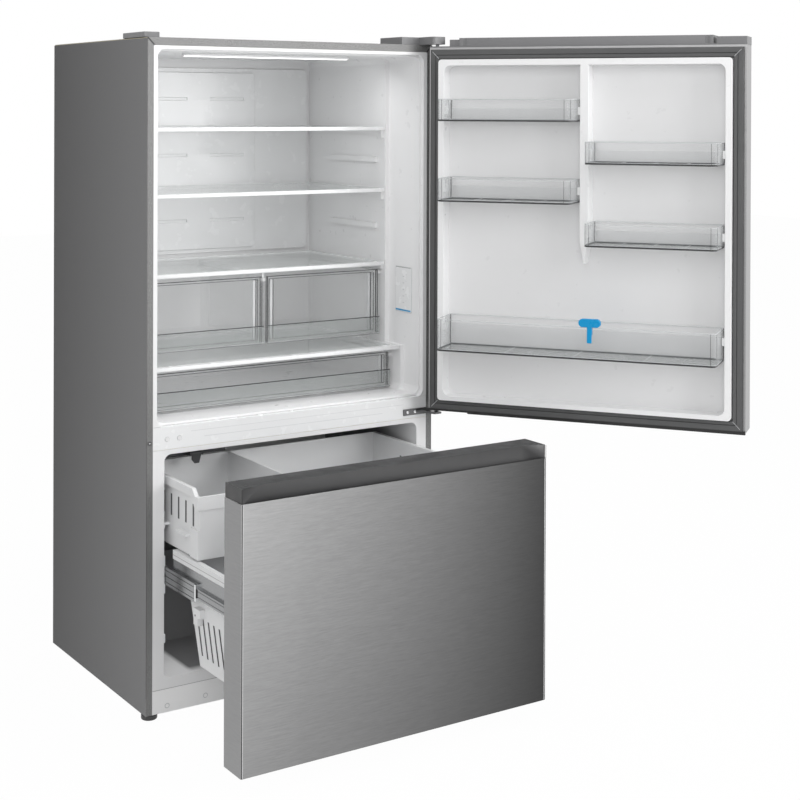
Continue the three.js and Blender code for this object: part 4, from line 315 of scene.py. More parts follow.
# A pale strip along the drawer front's folded edge: painted highlight.
FOLD_PAINTED_HIGHLIGHT = plastic("fold_painted_highlight", (0.62, 0.62, 0.625), 0.3, 0.02)
KICK = plastic("kick_paint", (0.94, 0.94, 0.94), 0.4, grain=600)
WHITE = plastic("white_liner", (0.84, 0.84, 0.845), 0.32, 0.015, grain=700, bump=0.05)
DOOR_WHITE = plastic("door_white", (0.90, 0.90, 0.905), 0.32, 0.015, grain=700, bump=0.05)
WHITE_TRIM = plastic("white_trim", (0.86, 0.865, 0.87), 0.25, 0.02, grain=900, bump=0.05)
# A greyer copy of the door liner's white for its recess floor: painted shade.
RECESS_PAINTED_SHADE = plastic("recess_painted_shade", (0.84, 0.84, 0.845), 0.32, 0.02, grain=700, bump=0.05)
# The freezer liner's white, with painted shade deeper in and under the basket.
FREEZER_WHITE = liner_with_painted_shade("freezer_liner_painted_shade", (0.84, 0.84, 0.845), (0.155, 0.155, 0.158))
BASKET = plastic("basket_white", (0.83, 0.835, 0.84), 0.34, 0.02, grain=500, bump=0.08)
# Near black for the slots in the baskets' sides: painted shade.
SLOT_PAINTED_SHADE = plastic("slot_painted_shade", (0.10, 0.10, 0.102), 0.5, 0.03)
BASKET_SHADE = plastic("basket_line", (0.42, 0.42, 0.425), 0.4, 0.03)
LINE_GREY = plastic("line_grey", (0.36, 0.36, 0.365), 0.45, 0.03)
LINE_DARK = plastic("line_dark", (0.09, 0.09, 0.092), 0.45, 0.03)
MARK_GREY = plastic("mark_grey", (0.62, 0.63, 0.64), 0.4, 0.03)
PLUG = plastic("plug_white", (0.80, 0.80, 0.805), 0.3, 0.03)
GREY = plastic("grey_plastic", (0.055, 0.055, 0.057), 0.4, grain=700)
CAP_GREY = plastic("cap_grey", (0.20, 0.20, 0.205), 0.42, grain=700)
DARK = plastic("dark_plastic", (0.023, 0.023, 0.024), 0.38, grain=700)
BLACK = plastic("black_plastic", (0.012, 0.012, 0.012), 0.45, 0.1, grain=600)
FOOT_GREY = plastic("foot_grey", (0.06, 0.06, 0.06), 0.45, 0.1, grain=600)
# A darker copy of the gasket rubber for its sides and folds: painted shade.
GASKET_PAINTED_SHADE = plastic("gasket_painted_shade", (0.035, 0.035, 0.036), 0.5, 0.05, grain=400)
RUBBER = plastic("gasket_rubber", (0.098, 0.099, 0.100), 0.55, 0.06, grain=400, bump=0.2, specular=0.35)
FOAM = plastic("foam", (0.80, 0.72, 0.45), 0.9, 0.1, grain=150, bump=0.6, specular=0.2)
ZINC = metal("zinc_plate", (0.50, 0.51, 0.53), 0.3, 300)
HINGE_METAL = metal("hinge_steel", (0.15, 0.15, 0.153), 0.32, 300)
SLIDE = metal("slide_steel", (0.28, 0.285, 0.29), 0.22, 60, (1, 0.05, 6))
# A dark copy of the slide steel for the slides' grooves: painted shade.
SLIDE_GROOVE_PAINTED_SHADE = metal("slide_groove_painted_shade", (0.04, 0.04, 0.042), 0.4, 60)
ALUMINIUM = metal("mill_aluminium", (0.66, 0.67, 0.69), 0.4, 250)
BRIGHT = metal("bright_screw", (0.78, 0.79, 0.80), 0.18, 300)
COMPRESSOR_BLACK = plastic("black_paint", (0.015, 0.015, 0.016), 0.35, 0.1, grain=300)
BLUE = plastic("clip_blue", (0.0, 0.30, 0.62), 0.3, 0.05, grain=500, specular=0.3)
STRIP_BLUE = plastic("strip_blue", (0.05, 0.33, 0.62), 0.3, 0.03)
CLEAR = clear_plastic("clear_bin", (0.62, 0.64, 0.65), 0.07, 0.34)
TUB_CLEAR = clear_plastic("clear_tub", (0.93, 0.94, 0.945), 0.03, 0.16)
# Paler clear plastic, for the bins' painted highlight bands and their floor ribs.
CLEAR_EDGE = clear_plastic("clear_edge", (0.80, 0.82, 0.83), 0.55, 0.8)
SMOKE = plastic("smoke_edge", (0.030, 0.031, 0.033), 0.4, 0.05, grain=500, bump=0.05, specular=0.25)
BIN_EDGE = plastic("bin_edge", (0.012, 0.012, 0.013), 0.4, 0.05, grain=500, bump=0.05, specular=0.25)
TINT = clear_plastic("tinted_front", (0.30, 0.33, 0.32), 0.20, 0.34)
FROST = clear_plastic("frosted_white", (0.84, 0.85, 0.86), 0.60, 0.85)
GLASS = clear_plastic("shelf_glass", (0.86, 0.90, 0.89), 0.10, 0.42, 0.03)
LAMP = glowing("lamp_cover", (1.0, 1.0, 0.98), 1.6)


# ---------------------------------------------------------------- building pieces
SHARP = math.radians(28)  # edges that turn by more than this are rounded, the others shaded smooth
FLAT = math.radians(0.4)  # faces that meet at less than this are joined
WELD = 0.00001


def add_object(name, data):
    obj = bpy.data.objects.new(name, data)
    bpy.context.scene.collection.objects.link(obj)
    return obj


def soften(obj, width, segments):
    """Rounds the sharp edges over a width in millimetres. A width of 0 leaves them as they are."""
    if width > 0:
        bevel = obj.modifiers.new("edges", "BEVEL")
        bevel.width = width * MM
        bevel.segments = segments
        bevel.limit_method = "ANGLE"
        bevel.angle_limit = SHARP
        bevel.harden_normals = True
        bevel.use_clamp_overlap = True
    for polygon in obj.data.polygons:
        polygon.use_smooth = True
    obj.data.set_sharp_from_angle(angle=SHARP)


def piece_from(name, bm, material, body, width, segments=2):
    """Closes a mesh drawn in millimetres into an object that rides on its body."""
    bmesh.ops.recalc_face_normals(bm, faces=bm.faces)
    mesh = bpy.data.meshes.new(name)
    bm.to_mesh(mesh)
    bm.free()
    mesh.transform(PLACES.get(body, CABINET) @ Matrix.Scale(MM, 4))
    obj = add_object(name, mesh)
    mesh.materials.append(material)
    soften(obj, width, segments)
    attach(obj, body)
    return obj


def block(name, xs, ys, zs, material, body="cabinet", width=0.8, segments=3):
    """A box between pairs of X, Y and Z."""
    bm = bmesh.new()
    size = Matrix.Diagonal((*(high - low for low, high in (xs, ys, zs)), 1))
    middle = Matrix.Translation([(low + high) / 2 for low, high in (xs, ys, zs)])
    bmesh.ops.create_cube(bm, size=1, matrix=middle @ size)
    return piece_from(name, bm, material, body, width, segments)


AXES = {"x": lambda a, b, c: (c, a, b), "y": lambda a, b, c: (a, c, b), "z": lambda a, b, c: (a, b, c)}


def prism(name, points, axis, span, material, body="cabinet", width=0.6):
    """An outline drawn in the other two axes, in X, Y, Z order, and extruded along one."""
    bm = bmesh.new()
    lower, upper = ([bm.verts.new(AXES[axis](a, b, c)) for a, b in points] for c in span)
    bm.faces.new(lower)
    bm.faces.new(upper[::-1])
    count = len(points)
    for i in range(count):
        j = (i + 1) % count
        bm.faces.new((lower[i], upper[i], upper[j], lower[j]))
    return piece_from(name, bm, material, body, width)


def disc(name, axis, radius, span, centre, material, body="cabinet", width=0.4, sides=32):
    """A round plug or screw head along an axis."""
    a, b = centre
    turns = [2 * math.pi * i / sides for i in range(sides)]
    points = [(a + radius * math.cos(turn), b + radius * math.sin(turn)) for turn in turns]
    prism(name, points, axis, span, material, body, width)


def arc(cx, cy, radius, start, steps):
    """Points of a quarter turn from a start in degrees."""
    angles = [math.radians(start + 90 * i / steps) for i in range(steps + 1)]
    return [(cx + radius * math.cos(angle), cy + radius * math.sin(angle)) for angle in angles]


def rounded(xs, ys, radius, steps=6):
    """A rectangle's outline with rounded corners."""
    left, right = xs[0] + radius, xs[1] - radius
    front, back = ys[0] + radius, ys[1] - radius
    corners = ((right, front, -90), (right, back, 0), (left, back, 90), (left, front, 180))
    return [point for cx, cy, start in corners for point in arc(cx, cy, radius, start, steps)]


def ring(name, outer, inner, axis, span, material, body="cabinet", width=0.6):
    """Two outlines with as many points each, joined into a frame."""
    bm = bmesh.new()
    low, high = span
    loops = [
        [bm.verts.new(AXES[axis](a, b, c)) for a, b in points]
        for points, c in ((outer, low), (outer, high), (inner, high), (inner, low))
    ]
    join_loops(bm, loops)
    return piece_from(name, bm, material, body, width)


def join_loops(bm, loops, strips=()):
    """Skins the loops in turn. The strips that start at the listed loops get the second material."""
    count = len(loops[0])
    for k, here in enumerate(loops):
        after = loops[(k + 1) % len(loops)]
        for i in range(count):
            j = (i + 1) % count
            face = bm.faces.new((here[i], here[j], after[j], after[i]))
            face.material_index = 1 if k in strips else 0


def seal(name, foot, top, sections, strips, body):
    """A mitred gasket round a front. Sections are (inset, Y) pairs of one closed profile."""
    bm = bmesh.new()
    loops = []
    for inset, y in sections:
        right, low, high = FRONT_HALF - inset, foot + inset, top - inset
        corners = ((-right, low), (right, low), (right, high), (-right, high))
        loops.append([bm.verts.new((x, y, z)) for x, z in corners])
    join_loops(bm, loops, strips)
    obj = piece_from(name, bm, RUBBER, body, 0.3)
    # The listed strips get the darker rubber: painted shade on the gasket's sides and folds.
    obj.data.materials.append(GASKET_PAINTED_SHADE)
    return obj


def mirrored(sign, near, far):
    """A pair of X on the left side with a sign of -1, on the right with 1."""
    return sorted((sign * near, sign * far))


def dressed(node, material, width=0.6, segments=2, second=None, inside=None):
    """A copy of a node's shape with its edges rounded, standing for the node.

    Faces for which inside(middle, normal) holds, in shut millimetres, get the second finish."""
    mesh = frame["nodes"][node].data.copy()
    mesh.materials.clear()
    bm = bmesh.new()
    bm.from_mesh(mesh)
    bmesh.ops.remove_doubles(bm, verts=bm.verts, dist=WELD)
    bmesh.ops.dissolve_limit(bm, angle_limit=FLAT, verts=bm.verts, edges=bm.edges, delimit={"NORMAL"})
    if second:
        back = PLACES.get(NODE_BODY[node], CABINET).inverted()
        for face in bm.faces:
            if inside(back @ face.calc_center_median() / MM, back.to_3x3() @ face.normal):
                face.material_index = 1
    bm.to_mesh(mesh)
    bm.free()
    obj = add_object(node + "_finished", mesh)
    mesh.materials.append(material)
    if second:
        mesh.materials.append(second)
    soften(obj, width, segments)
    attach(obj, NODE_BODY[node])
    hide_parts(node)
    return obj


def closed_box(node):
    """A node's low and high corners in millimetres, in its body's shut position."""
    source = frame["nodes"][node]
    back = PLACES.get(NODE_BODY[node], CABINET).inverted() @ source.matrix_world
    points = [back @ vertex.co / MM for vertex in source.data.vertices]
    return tuple(Vector([pick(point[i] for point in points) for i in range(3)]) for pick in (min, max))


def paint(node, material):
    mesh = frame["nodes"][node].data
    mesh.materials.clear()
    mesh.materials.append(material)


# ---------------------------------------------------------------- camera, floor and light
CLEAR_LAYERS = 40  # a ray through the drawers and shelves passes this many clear faces at most
CAMERA_PLACE = SHIFT + Vector((-1.9733, -3.4809, 1.5031))
YAW, PITCH, ROLL = (math.radians(angle) for angle in (33.32, -0.30, 0.204))
LENS = 69.68
LENS_SHIFT = -0.356
FLOOR_HALF = 14
FLOOR_GLOW = 0.98  # the share of the floor's own white in what the camera sees of it
BACKDROP = 1.0
AMBIENT = 0.50  # the backdrop's strength as a light


def make_camera():
    data = bpy.data.cameras.new("camera")
    data.sensor_width = 36
    data.lens = LENS
    data.shift_y = LENS_SHIFT
    data.clip_end = 100
    camera = add_object("camera", data)
    flat = math.cos(PITCH)
    forward = Vector((math.sin(YAW) * flat, math.cos(YAW) * flat, math.sin(PITCH)))
    level = Vector((math.cos(YAW), -math.sin(YAW), 0))
    up = level.cross(forward)
    right = level * math.cos(ROLL) + up * math.sin(ROLL)
    above = -level * math.sin(ROLL) + up * math.cos(ROLL)
    turn = Matrix((right, above, -forward)).transposed().to_4x4()
    camera.matrix_world = Matrix.Translation(CAMERA_PLACE) @ turn
    bpy.context.scene.camera = camera


def area_light(name, place, aim, width, height, energy):
    """A rectangular lamp that the camera doesn't see."""
    data = bpy.data.lights.new(name, "AREA")
    data.shape = "RECTANGLE"
    data.size = width
    data.size_y = height
    data.energy = energy
    light = add_object(name, data)
    light.visible_camera = False
    light.location = place
    light.rotation_euler = (Vector(aim) - Vector(place)).to_track_quat("-Z", "Y").to_euler()


def make_backdrop():
    """A white surround, brighter to look at than as a light."""
    scene = bpy.context.scene
    scene.view_settings.view_transform = "Standard"
    scene.cycles.transparent_max_bounces = CLEAR_LAYERS
    world = bpy.data.worlds.new("studio")
    scene.world = world
    world.use_nodes = True
    graph = Graph(world.node_tree)
    background = graph.tree.nodes["Background"]
    graph.feed(background.inputs["Color"], (1, 1, 1, 1))
    strength = graph.remap(graph.direct_view(), 0, 1, AMBIENT, BACKDROP)
    graph.feed(background.inputs["Strength"], strength)


def make_floor():
    """A pale floor that mostly shows its own white and so keeps soft shadows faint."""
    finish = Finish("pale_floor")
    finish.drive("Base Color", finish.blend(finish.noise(3, 2), (0.90, 0.90, 0.90), (0.92, 0.92, 0.92)))
    finish.drive("Roughness", 0.9)
    finish.drive("Specular IOR Level", 0.1)
    glow = finish.node("Emission")
    finish.feed(glow.inputs["Color"], (1, 1, 1, 1))
    mixer = finish.node("MixShader")
    finish.feed(mixer.inputs["Fac"], finish.calculate("MULTIPLY", finish.direct_view(), FLOOR_GLOW))
    finish.feed(mixer.inputs[1], finish.shader.outputs["BSDF"])
    finish.feed(mixer.inputs[2], glow.outputs["Emission"])
    finish.feed(finish.tree.nodes["Material Output"].inputs["Surface"], mixer.outputs["Shader"])
    bm = bmesh.new()
    bmesh.ops.create_grid(bm, x_segments=2, y_segments=2, size=FLOOR_HALF)
    mesh = bpy.data.meshes.new("floor")
    bm.to_mesh(mesh)
    bm.free()
    floor = add_object("floor", mesh)
    floor.location.z = -0.0005
    mesh.materials.append(finish.material)


def make_lights():
    """Each lamp's place and aim, then its width and height in metres and its power in watts."""
    area_light("key", (-3.0, -3.8, 3.2), (0, 0, 0.9), 2.6, 2.6, 48)
    area_light("fill", (2.2, -4.8, 2.4), (0, 0, 0.9), 2.4, 2.4, 125)
    area_light("top", (0, -0.6, 4.2), (0, 0, 0.8), 2.5, 2.5, 40)
    ceiling = SHIFT + Vector((0, 0.12, 1.60))
    area_light("inside_top", ceiling, ceiling + Vector((0, 0.35, -1)), 0.60, 0.10, 0.45)
    mouth = SHIFT + Vector((0, -0.02, 1.16))
    area_light("inside_front", mouth, mouth + Vector((0, 1, 0)), 0.74, 0.84, 0.30)
    gap = SHIFT + Vector((-0.315, 0.05, 0.325))
    area_light("freezer_gap", gap, SHIFT + Vector((-0.325, 0.08, 0.10)), 0.08, 0.08, 0.17)


# ---------------------------------------------------------------- cabinet
PLUG_Z = 686.5
FLANGE_PLUG = (-411.5, 681)
KICK_DIMPLES = ((-363, 32), (-259, 36), (259, 36), (363, 32))
FLANGE_MITRE = ((419.6, 2.6), (417.4, 0.4), (399.4, 18.4), (401.6, 20.6))  # X and how far below the top


def make_cabinet():
    paint("outer_case", CASE)
    paint("rear_panel", CASE)
    dressed("machine_cover", CASE, 0.3)
    paint("cabinet_insulation", FOAM)
    dressed("fridge_liner", WHITE, 1.0)
    dressed("freezer_liner", FREEZER_WHITE, 1.0)
    dressed("mullion_rail", WHITE_TRIM, 0.6)
    dressed("kick_plate", KICK, 0.5)
    paint("base_frame", ZINC)
    paint("compressor", COMPRESSOR_BLACK)
    paint("condenser", ZINC)
    paint("evaporator", ALUMINIUM)
    dressed("evaporator_cover", WHITE, 0.8)
    dressed("air_duct", WHITE_TRIM, 2.5, 3)
    paint("condenser_fan", GREY)
    paint("evaporator_fan", GREY)
    dressed("left_front_foot", FOOT_GREY, 0.8)
    dressed("right_front_foot", FOOT_GREY, 0.8)
    dressed("left_rear_roller", BLACK, 0.8)
    dressed("right_rear_roller", BLACK, 0.8)
    make_lamp()
    make_flange_lines()
    make_mullion_details()
    make_kick_details()
    make_rear_details()


def make_lamp():
    """A plain housing with a thin lit edge below it."""
    low, high = closed_box("ceiling_light")
    housing = prism("lamp_housing", rounded((low.x - 4, high.x + 4), (low.y, high.y), 8), "z",
                    (low.z + 1.6, high.z), WHITE_TRIM)
    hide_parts("ceiling_light")
    lens = prism("lamp_lens", rounded((low.x, high.x), (low.y + 7, high.y - 7), 5), "z",
                 (low.z, low.z + 1.5), LAMP)
    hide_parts("ceiling_light")


def make_flange_lines():
    """The flange's mitred corners and the fold along its outer edge."""
    top = closed_box("outer_case")[1].z
    for index, sign in enumerate((-1, 1)):
        points = [(sign * x, top - drop) for x, drop in FLANGE_MITRE]
        prism("flange_mitre_%d" % index, points, "y", (-0.25, 0.4), BLACK, width=0)
        block("flange_fold_%d" % index, mirrored(sign, 418.5, 419.9), (-0.25, 0.6), (60, top - 2),
              LINE_DARK, width=0)


def make_mullion_details():
    """Two shallow lines along the mullion, its two plugs, and the plug on the side flange."""
    block("mullion_line", (-264, 262), FLUSH, (683.2, 684.2), MARK_GREY, width=0.2)
    block("mullion_upper_line", (-300, 330), FLUSH, (699.6, 700.4), MARK_GREY, width=0.2)
    for index, x in enumerate((-365, -332)):
        disc("mullion_plug_%d" % index, "y", 6.2, (-0.35, 0.4), (x, PLUG_Z), LINE_GREY)
        disc("mullion_plug_cap_%d" % index, "y", 5.6, (-1.4, 0.4), (x, PLUG_Z), PLUG, width=0.8)
    disc("flange_plug", "y", 5.0, (-1.2, 0.4), FLANGE_PLUG, HINGE_METAL, width=0.6)
    disc("flange_plug_dot", "y", 1.8, (-1.8, 0.4), FLANGE_PLUG, BRIGHT)


def make_kick_details():
    """Four pressed dimples in the kick plate and the seam above it."""
    for index, place in enumerate(KICK_DIMPLES):
        disc("kick_dimple_%d" % index, "y", 6.5, (-0.25, 0.4), place, MARK_GREY, width=0.2)
        disc("kick_dimple_centre_%d" % index, "y", 4.5, (-0.7, 0.4), place, KICK, width=0.3)
    block("kick_seam", (-402, 402), (-0.3, 0.4), (73.4, 74.6), LINE_GREY, width=0.1)


def make_rear_details():
    """Rows of screws along the foot and the top of the rear panel and of the machine cover."""
    back = closed_box("rear_panel")[1].y
    for node, name, xs, inset, depth in (
        ("rear_panel", "rear_screw", (-400, -200, 0, 200, 400), 12, 0.4),
        ("machine_cover", "cover_screw", (-405, -135, 135, 405), 9, 1.0),
    ):
        low, high = closed_box(node)
        for index, x in enumerate(xs):
            for row, z in enumerate((low.z + inset, high.z - inset)):
                span = (back - depth, back)
                disc("%s_%d_%d" % (name, index, row), "y", 4.5, span, (x, z), BRIGHT, width=0.1)


def shelf_cover(name, front_rim, rim=14):
    """A white frame with a pane let into it."""
    low, high = closed_box(name)
    top = high.z
    outer = rounded((low.x, high.x), (low.y, high.y), 3, 3)
    inner = rounded((low.x + rim, high.x - rim), (low.y + front_rim, high.y - rim), 3, 3)
    border = ring(name + "_rim", outer, inner, "z", (top - 10, top), WHITE_TRIM, width=1.0)
    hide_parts(name)
    across, along = (low.x + rim - 1, high.x - rim + 1), (low.y + front_rim - 1, high.y - rim + 1)
    pane = block(name + "_pane", across, along, (top - 6, top - 2), GLASS, width=0.2)
    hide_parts(name)
    block(name + "_front_line", (low.x + 2, high.x - 2), (low.y - 0.1, low.y + 0.4),
          (top - 8.6, top - 7.8), MARK_GREY, width=0.1)


def make_shelves():
    for name in ("upper_shelf", "middle_shelf"):
        dressed(name + "_frame", WHITE_TRIM, 1.2, 3)
        paint(name + "_glass", GLASS)
    shelf_cover("crisper_cover", 16)
    shelf_cover("deli_cover", 22)
    low, high = closed_box("crisper_cover")
    foot = low.z
    outline = [
        (-3, foot + 24), (-3, foot + 9), (-10, foot + 9), (-10, foot), (10, foot), (10, foot + 9),
        (3, foot + 9), (3, foot + 24)
    ]
    hanger = prism("crisper_hanger", outline, "y", (low.y + 22, high.y - 2), WHITE_TRIM, width=0.5)
    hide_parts("crisper_cover")


# ---------------------------------------------------------------- clear drawers
# Each drawer's ends in X, Y of its face's back, Z of its lip's top, and X of its end posts.
TUBS = {
    "left_crisper": ((-360.5, -5.5), 184, 918, (-336, -26)),
    "right_crisper": ((5.5, 360.5), 184, 918, (26, 336)),
    "deli_drawer": ((-360.5, 360.5), 127, 778, (-338, 338)),
}


def outline_ring(name, xs, zs, thickness, ys, body):
    """A thin dark outline round a front."""
    (x0, x1), (z0, z1) = xs, zs
    inner = rounded((x0 + thickness, x1 - thickness), (z0 + thickness, z1 - thickness), 2, 3)
    ring(name, rounded(xs, zs, 3, 3), inner, "y", ys, SMOKE, body, width=0.2)


def dress_tub(node):
    """The clear tub, dark outlines round its front, a tinted finger lip and pale end posts."""
    (x0, x1), face_back, lip_top, posts = TUBS[node]
    dressed(node, TUB_CLEAR, 1.0, 2)
    low, high = closed_box(node)
    lip, bottom, top = low.y, low.z, high.z - 1.5
    face = lip + 12
    outline_ring(node + "_outline", (x0, x1), (bottom, top), 1.8, (face - 0.5, face + 0.8), node)
    outline_ring(node + "_inner_outline", (x0 + 11, x1 - 11), (bottom + 9, top - 7), 1.2,
                 (face_back, face_back + 1.2), node)
    between_ends = (x0 + 0.5, x1 - 0.5)
    block(node + "_lip_line", between_ends, (lip - 0.2, lip + 3.2), (lip_top - 1.8, lip_top),
          SMOKE, node, width=0.3)
    block(node + "_lip_front", (x0 + 1, x1 - 1), (lip - 0.1, lip + 0.3), (bottom + 4, lip_top - 2),
          TINT, node, width=0.1)
    block(node + "_sill", between_ends, (lip, face), (bottom, bottom + 3.2), FROST, node, width=0.4)
    block(node + "_sill_line", between_ends, (lip - 0.2, lip + 0.2), (bottom, bottom + 0.9),
          SMOKE, node, width=0.1)
    for index, x in enumerate(posts):
        block("%s_post_%d" % (node, index), (x - 4, x + 4), (face + 6, face + 12), (bottom + 9, top - 9),
              FROST, node, width=1.2)
        block("%s_post_edge_%d" % (node, index), (x + 4.2, x + 5.4), (face + 5, face + 12),
              (bottom + 9, top - 9), SMOKE, node, width=0.2)
    for index, x in enumerate((x0 + 5, x1 - 6)):
        block("%s_end_line_%d" % (node, index), (x, x + 1.2), (face - 0.4, face + 3),
              (bottom + 2, top - 2), SMOKE, node, width=0.2)


# ---------------------------------------------------------------- fittings
def make_panel():
    """The wall panel: an outline, a line and a strip across it, and a column of pads and dots."""
    dressed("control_panel", WHITE_TRIM, 0.8)
    low, high = closed_box("control_panel")
    face = low.x
    outer = rounded((low.y - 1.2, high.y + 1.2), (low.z - 1.2, high.z + 1.2), 3.5)
    inner = rounded((low.y + 0.4, high.y - 0.4), (low.z + 0.4, high.z - 0.4), 2.5)
    ring("panel_outline", outer, inner, "x", (face + 0.6, high.x), MARK_GREY, width=0.1)
    across = (low.y + 2, high.y - 2)
    block("panel_top_line", (face - 0.2, face + 0.5), across, (high.z - 1.6, high.z), LINE_GREY, width=0.1)
    block("panel_strip", (face - 0.3, face + 0.4), across, (low.z + 2, low.z + 6.5), STRIP_BLUE, width=0.2)
    raised = (face - 0.25, face + 0.4)
    middle = (low.y + high.y) / 2
    for index in range(5):
        z = low.z + 24 + index * 18
        block("panel_pad_%d" % index, raised, (middle - 5, middle + 3), (z, z + 3), MARK_GREY, width=0.2)
        disc("panel_dot_%d" % index, "x", 1.5, raised, (middle - 14, z + 7), MARK_GREY, width=0.1)


def make_slides():
    for side, sign in (("left", -1), ("right", 1)):
        dressed(side + "_outer_slide", SLIDE, 0.3)
        dressed(side + "_middle_slide", SLIDE, 0.3)
        dressed(side + "_inner_slide", SLIDE, 0.3)

        def strip(name, xs, *rest, **more):
            block("%s_%s" % (side, name), mirrored(sign, *xs), *rest, **more)

        # The moulded bracket on the liner with its bright end plate, and the bump below it.
        moulding = (366.8, 371.6)
        strip("slide_bracket", moulding, (3, 11.6), (322, 386), WHITE_TRIM, width=1.5)
        strip("slide_bracket_top", moulding, (3, 30), (384, 401), WHITE_TRIM, width=2.0)
        strip("slide_bracket_bottom", moulding, (3, 26), (307, 324), WHITE_TRIM, width=2.0)
        strip("mouth_bump", (366.8, 371.8), (2, 10), (186, 208), WHITE_TRIM, width=2.0)
        strip("slide_plate", (367.0, 371.2), (2.0, 3.4), (334, 372), BRIGHT, width=0.3)
        # A black patch for the hole in the plate: painted shade of its inside.
        strip("slide_plate_hole", (368.0, 370.4), (1.7, 2.6), (349, 357), BLACK, width=0.2)
        # Dark strips along the middle slides: painted shade in their grooves.
        for index, z in enumerate((338, 352, 366)):
            strip("middle_groove_%d" % index, (369.3, 369.8), (44, 436), (z, z + 1.6), SLIDE_GROOVE_PAINTED_SHADE,
                  "slide_middles", width=0.1)
        strip("ball_retainer", (359.9, 369.6), (34, 40), (333, 373), BRIGHT, "slide_middles", width=0.5)
        strip("retainer_stop", (360.5, 369.6), (30, 34), (343, 363), BLACK, "slide_middles", width=0.6)
        # Dark strips along the inner slides: painted shade in their grooves.
        for index, z in enumerate((346, 359)):
            strip("inner_groove_%d" % index, (367.2, 367.7), (14, 428), (z, z + 1.4), SLIDE_GROOVE_PAINTED_SHADE,
                  "freezer_drawer", width=0.1)


LEFT_COVER_CHANGE = 22  # the left top cover is this much narrower and longer than its solid
MIDDLE_HINGE_FACE = -3.3
MIDDLE_HINGE_SCREW_Z = 678.5


def make_hinges():
    dressed("top_hinge", ZINC, 0.4)
    dressed("top_hinge_cover", CAP_GREY, 2.0, 3)
    cover = dressed("left_top_cover", CAP_GREY, 2.0, 3)
    left_low, left_high = closed_box("left_top_cover")
    size = left_high - left_low
    corner = CABINET @ Matrix.Translation(left_low * MM)
    resized = Matrix.Diagonal((1 - LEFT_COVER_CHANGE / size.x, 1 + LEFT_COVER_CHANGE / size.y, 1, 1))
    cover.data.transform(corner @ resized @ corner.inverted())
    dressed("middle_hinge", HINGE_METAL, 0.6)
    left, face, z = closed_box("middle_hinge")[0].x, MIDDLE_HINGE_FACE, MIDDLE_HINGE_SCREW_Z
    for index, x in enumerate((left + 12, left + 36, left + 58)):
        disc("middle_hinge_screw_%d" % index, "y", 4.0, (face - 2, face + 0.4), (x, z), BRIGHT, width=0.8)
        # A black bar across each screw head for its slot: painted shade of the slot.
        block("middle_hinge_slot_%d" % index, (x - 2.6, x + 2.6), (face - 2.2, face - 1.6),
              (z - 0.5, z + 0.5), BLACK, width=0.1)
    low, high = closed_box("top_hinge_cover")
    disc("top_cover_screw", "z", 5, (high.z - 1.2, high.z), (low.x + 30, 55), DARK, width=0.2)
    middle = (left_low.x + left_high.x - LEFT_COVER_CHANGE) / 2
    disc("left_cover_screw", "z", 5, (left_high.z - 1.2, left_high.z), (middle, 60), DARK, width=0.2)


def make_fittings():
    make_panel()
    make_slides()
    make_hinges()
    dressed("ice_maker", GREY, 1.0)
    dressed("ice_level_arm", GREY, 0.5)
    low, high = closed_box("ice_maker")
    block("ice_maker_line", (low.x + 4, high.x - 4), (low.y + 19.8, low.y + 20.4),
          (low.z + 12, low.z + 13.5), DARK, width=0.2)


# ---------------------------------------------------------------- door
BIN_CORNER = 14  # radius of a bin's front corners
BIN_CORNER_STEPS = 5
RECESS_FLOOR = -25  # Y in front of which the door liner's faces are its recess
RECESS_HALF = 372
DOOR_SEAL = (
    (6, -13.7), (6, -4), (8, -2.0), (14, -1.0), (20, -1.6), (21.5, -3.0), (23, -1.6), (30, -1.4),
    (32, -3.0), (32, -13.7),
)
# The strips of the door gasket that get painted shade.
DOOR_SEAL_SHADED_STRIPS = (0, 1, 4, 7, 8)
MITRE_NEAR, MITRE_FAR, MITRE_HALF = 12, 30, 0.6


def tray_outline(xs, ys, inset):
    """A tray seen from above: square at the back, rounded at the front."""
    (x0, x1), (y0, y1) = ((low + inset, high - inset) for low, high in (xs, ys))
    radius = BIN_CORNER - inset
    right = arc(x1 - radius, y1 - radius, radius, 0, BIN_CORNER_STEPS)
    left = arc(x0 + radius, y1 - radius, radius, 90, BIN_CORNER_STEPS)
    return [(x0, y0), (x1, y0)] + right + left


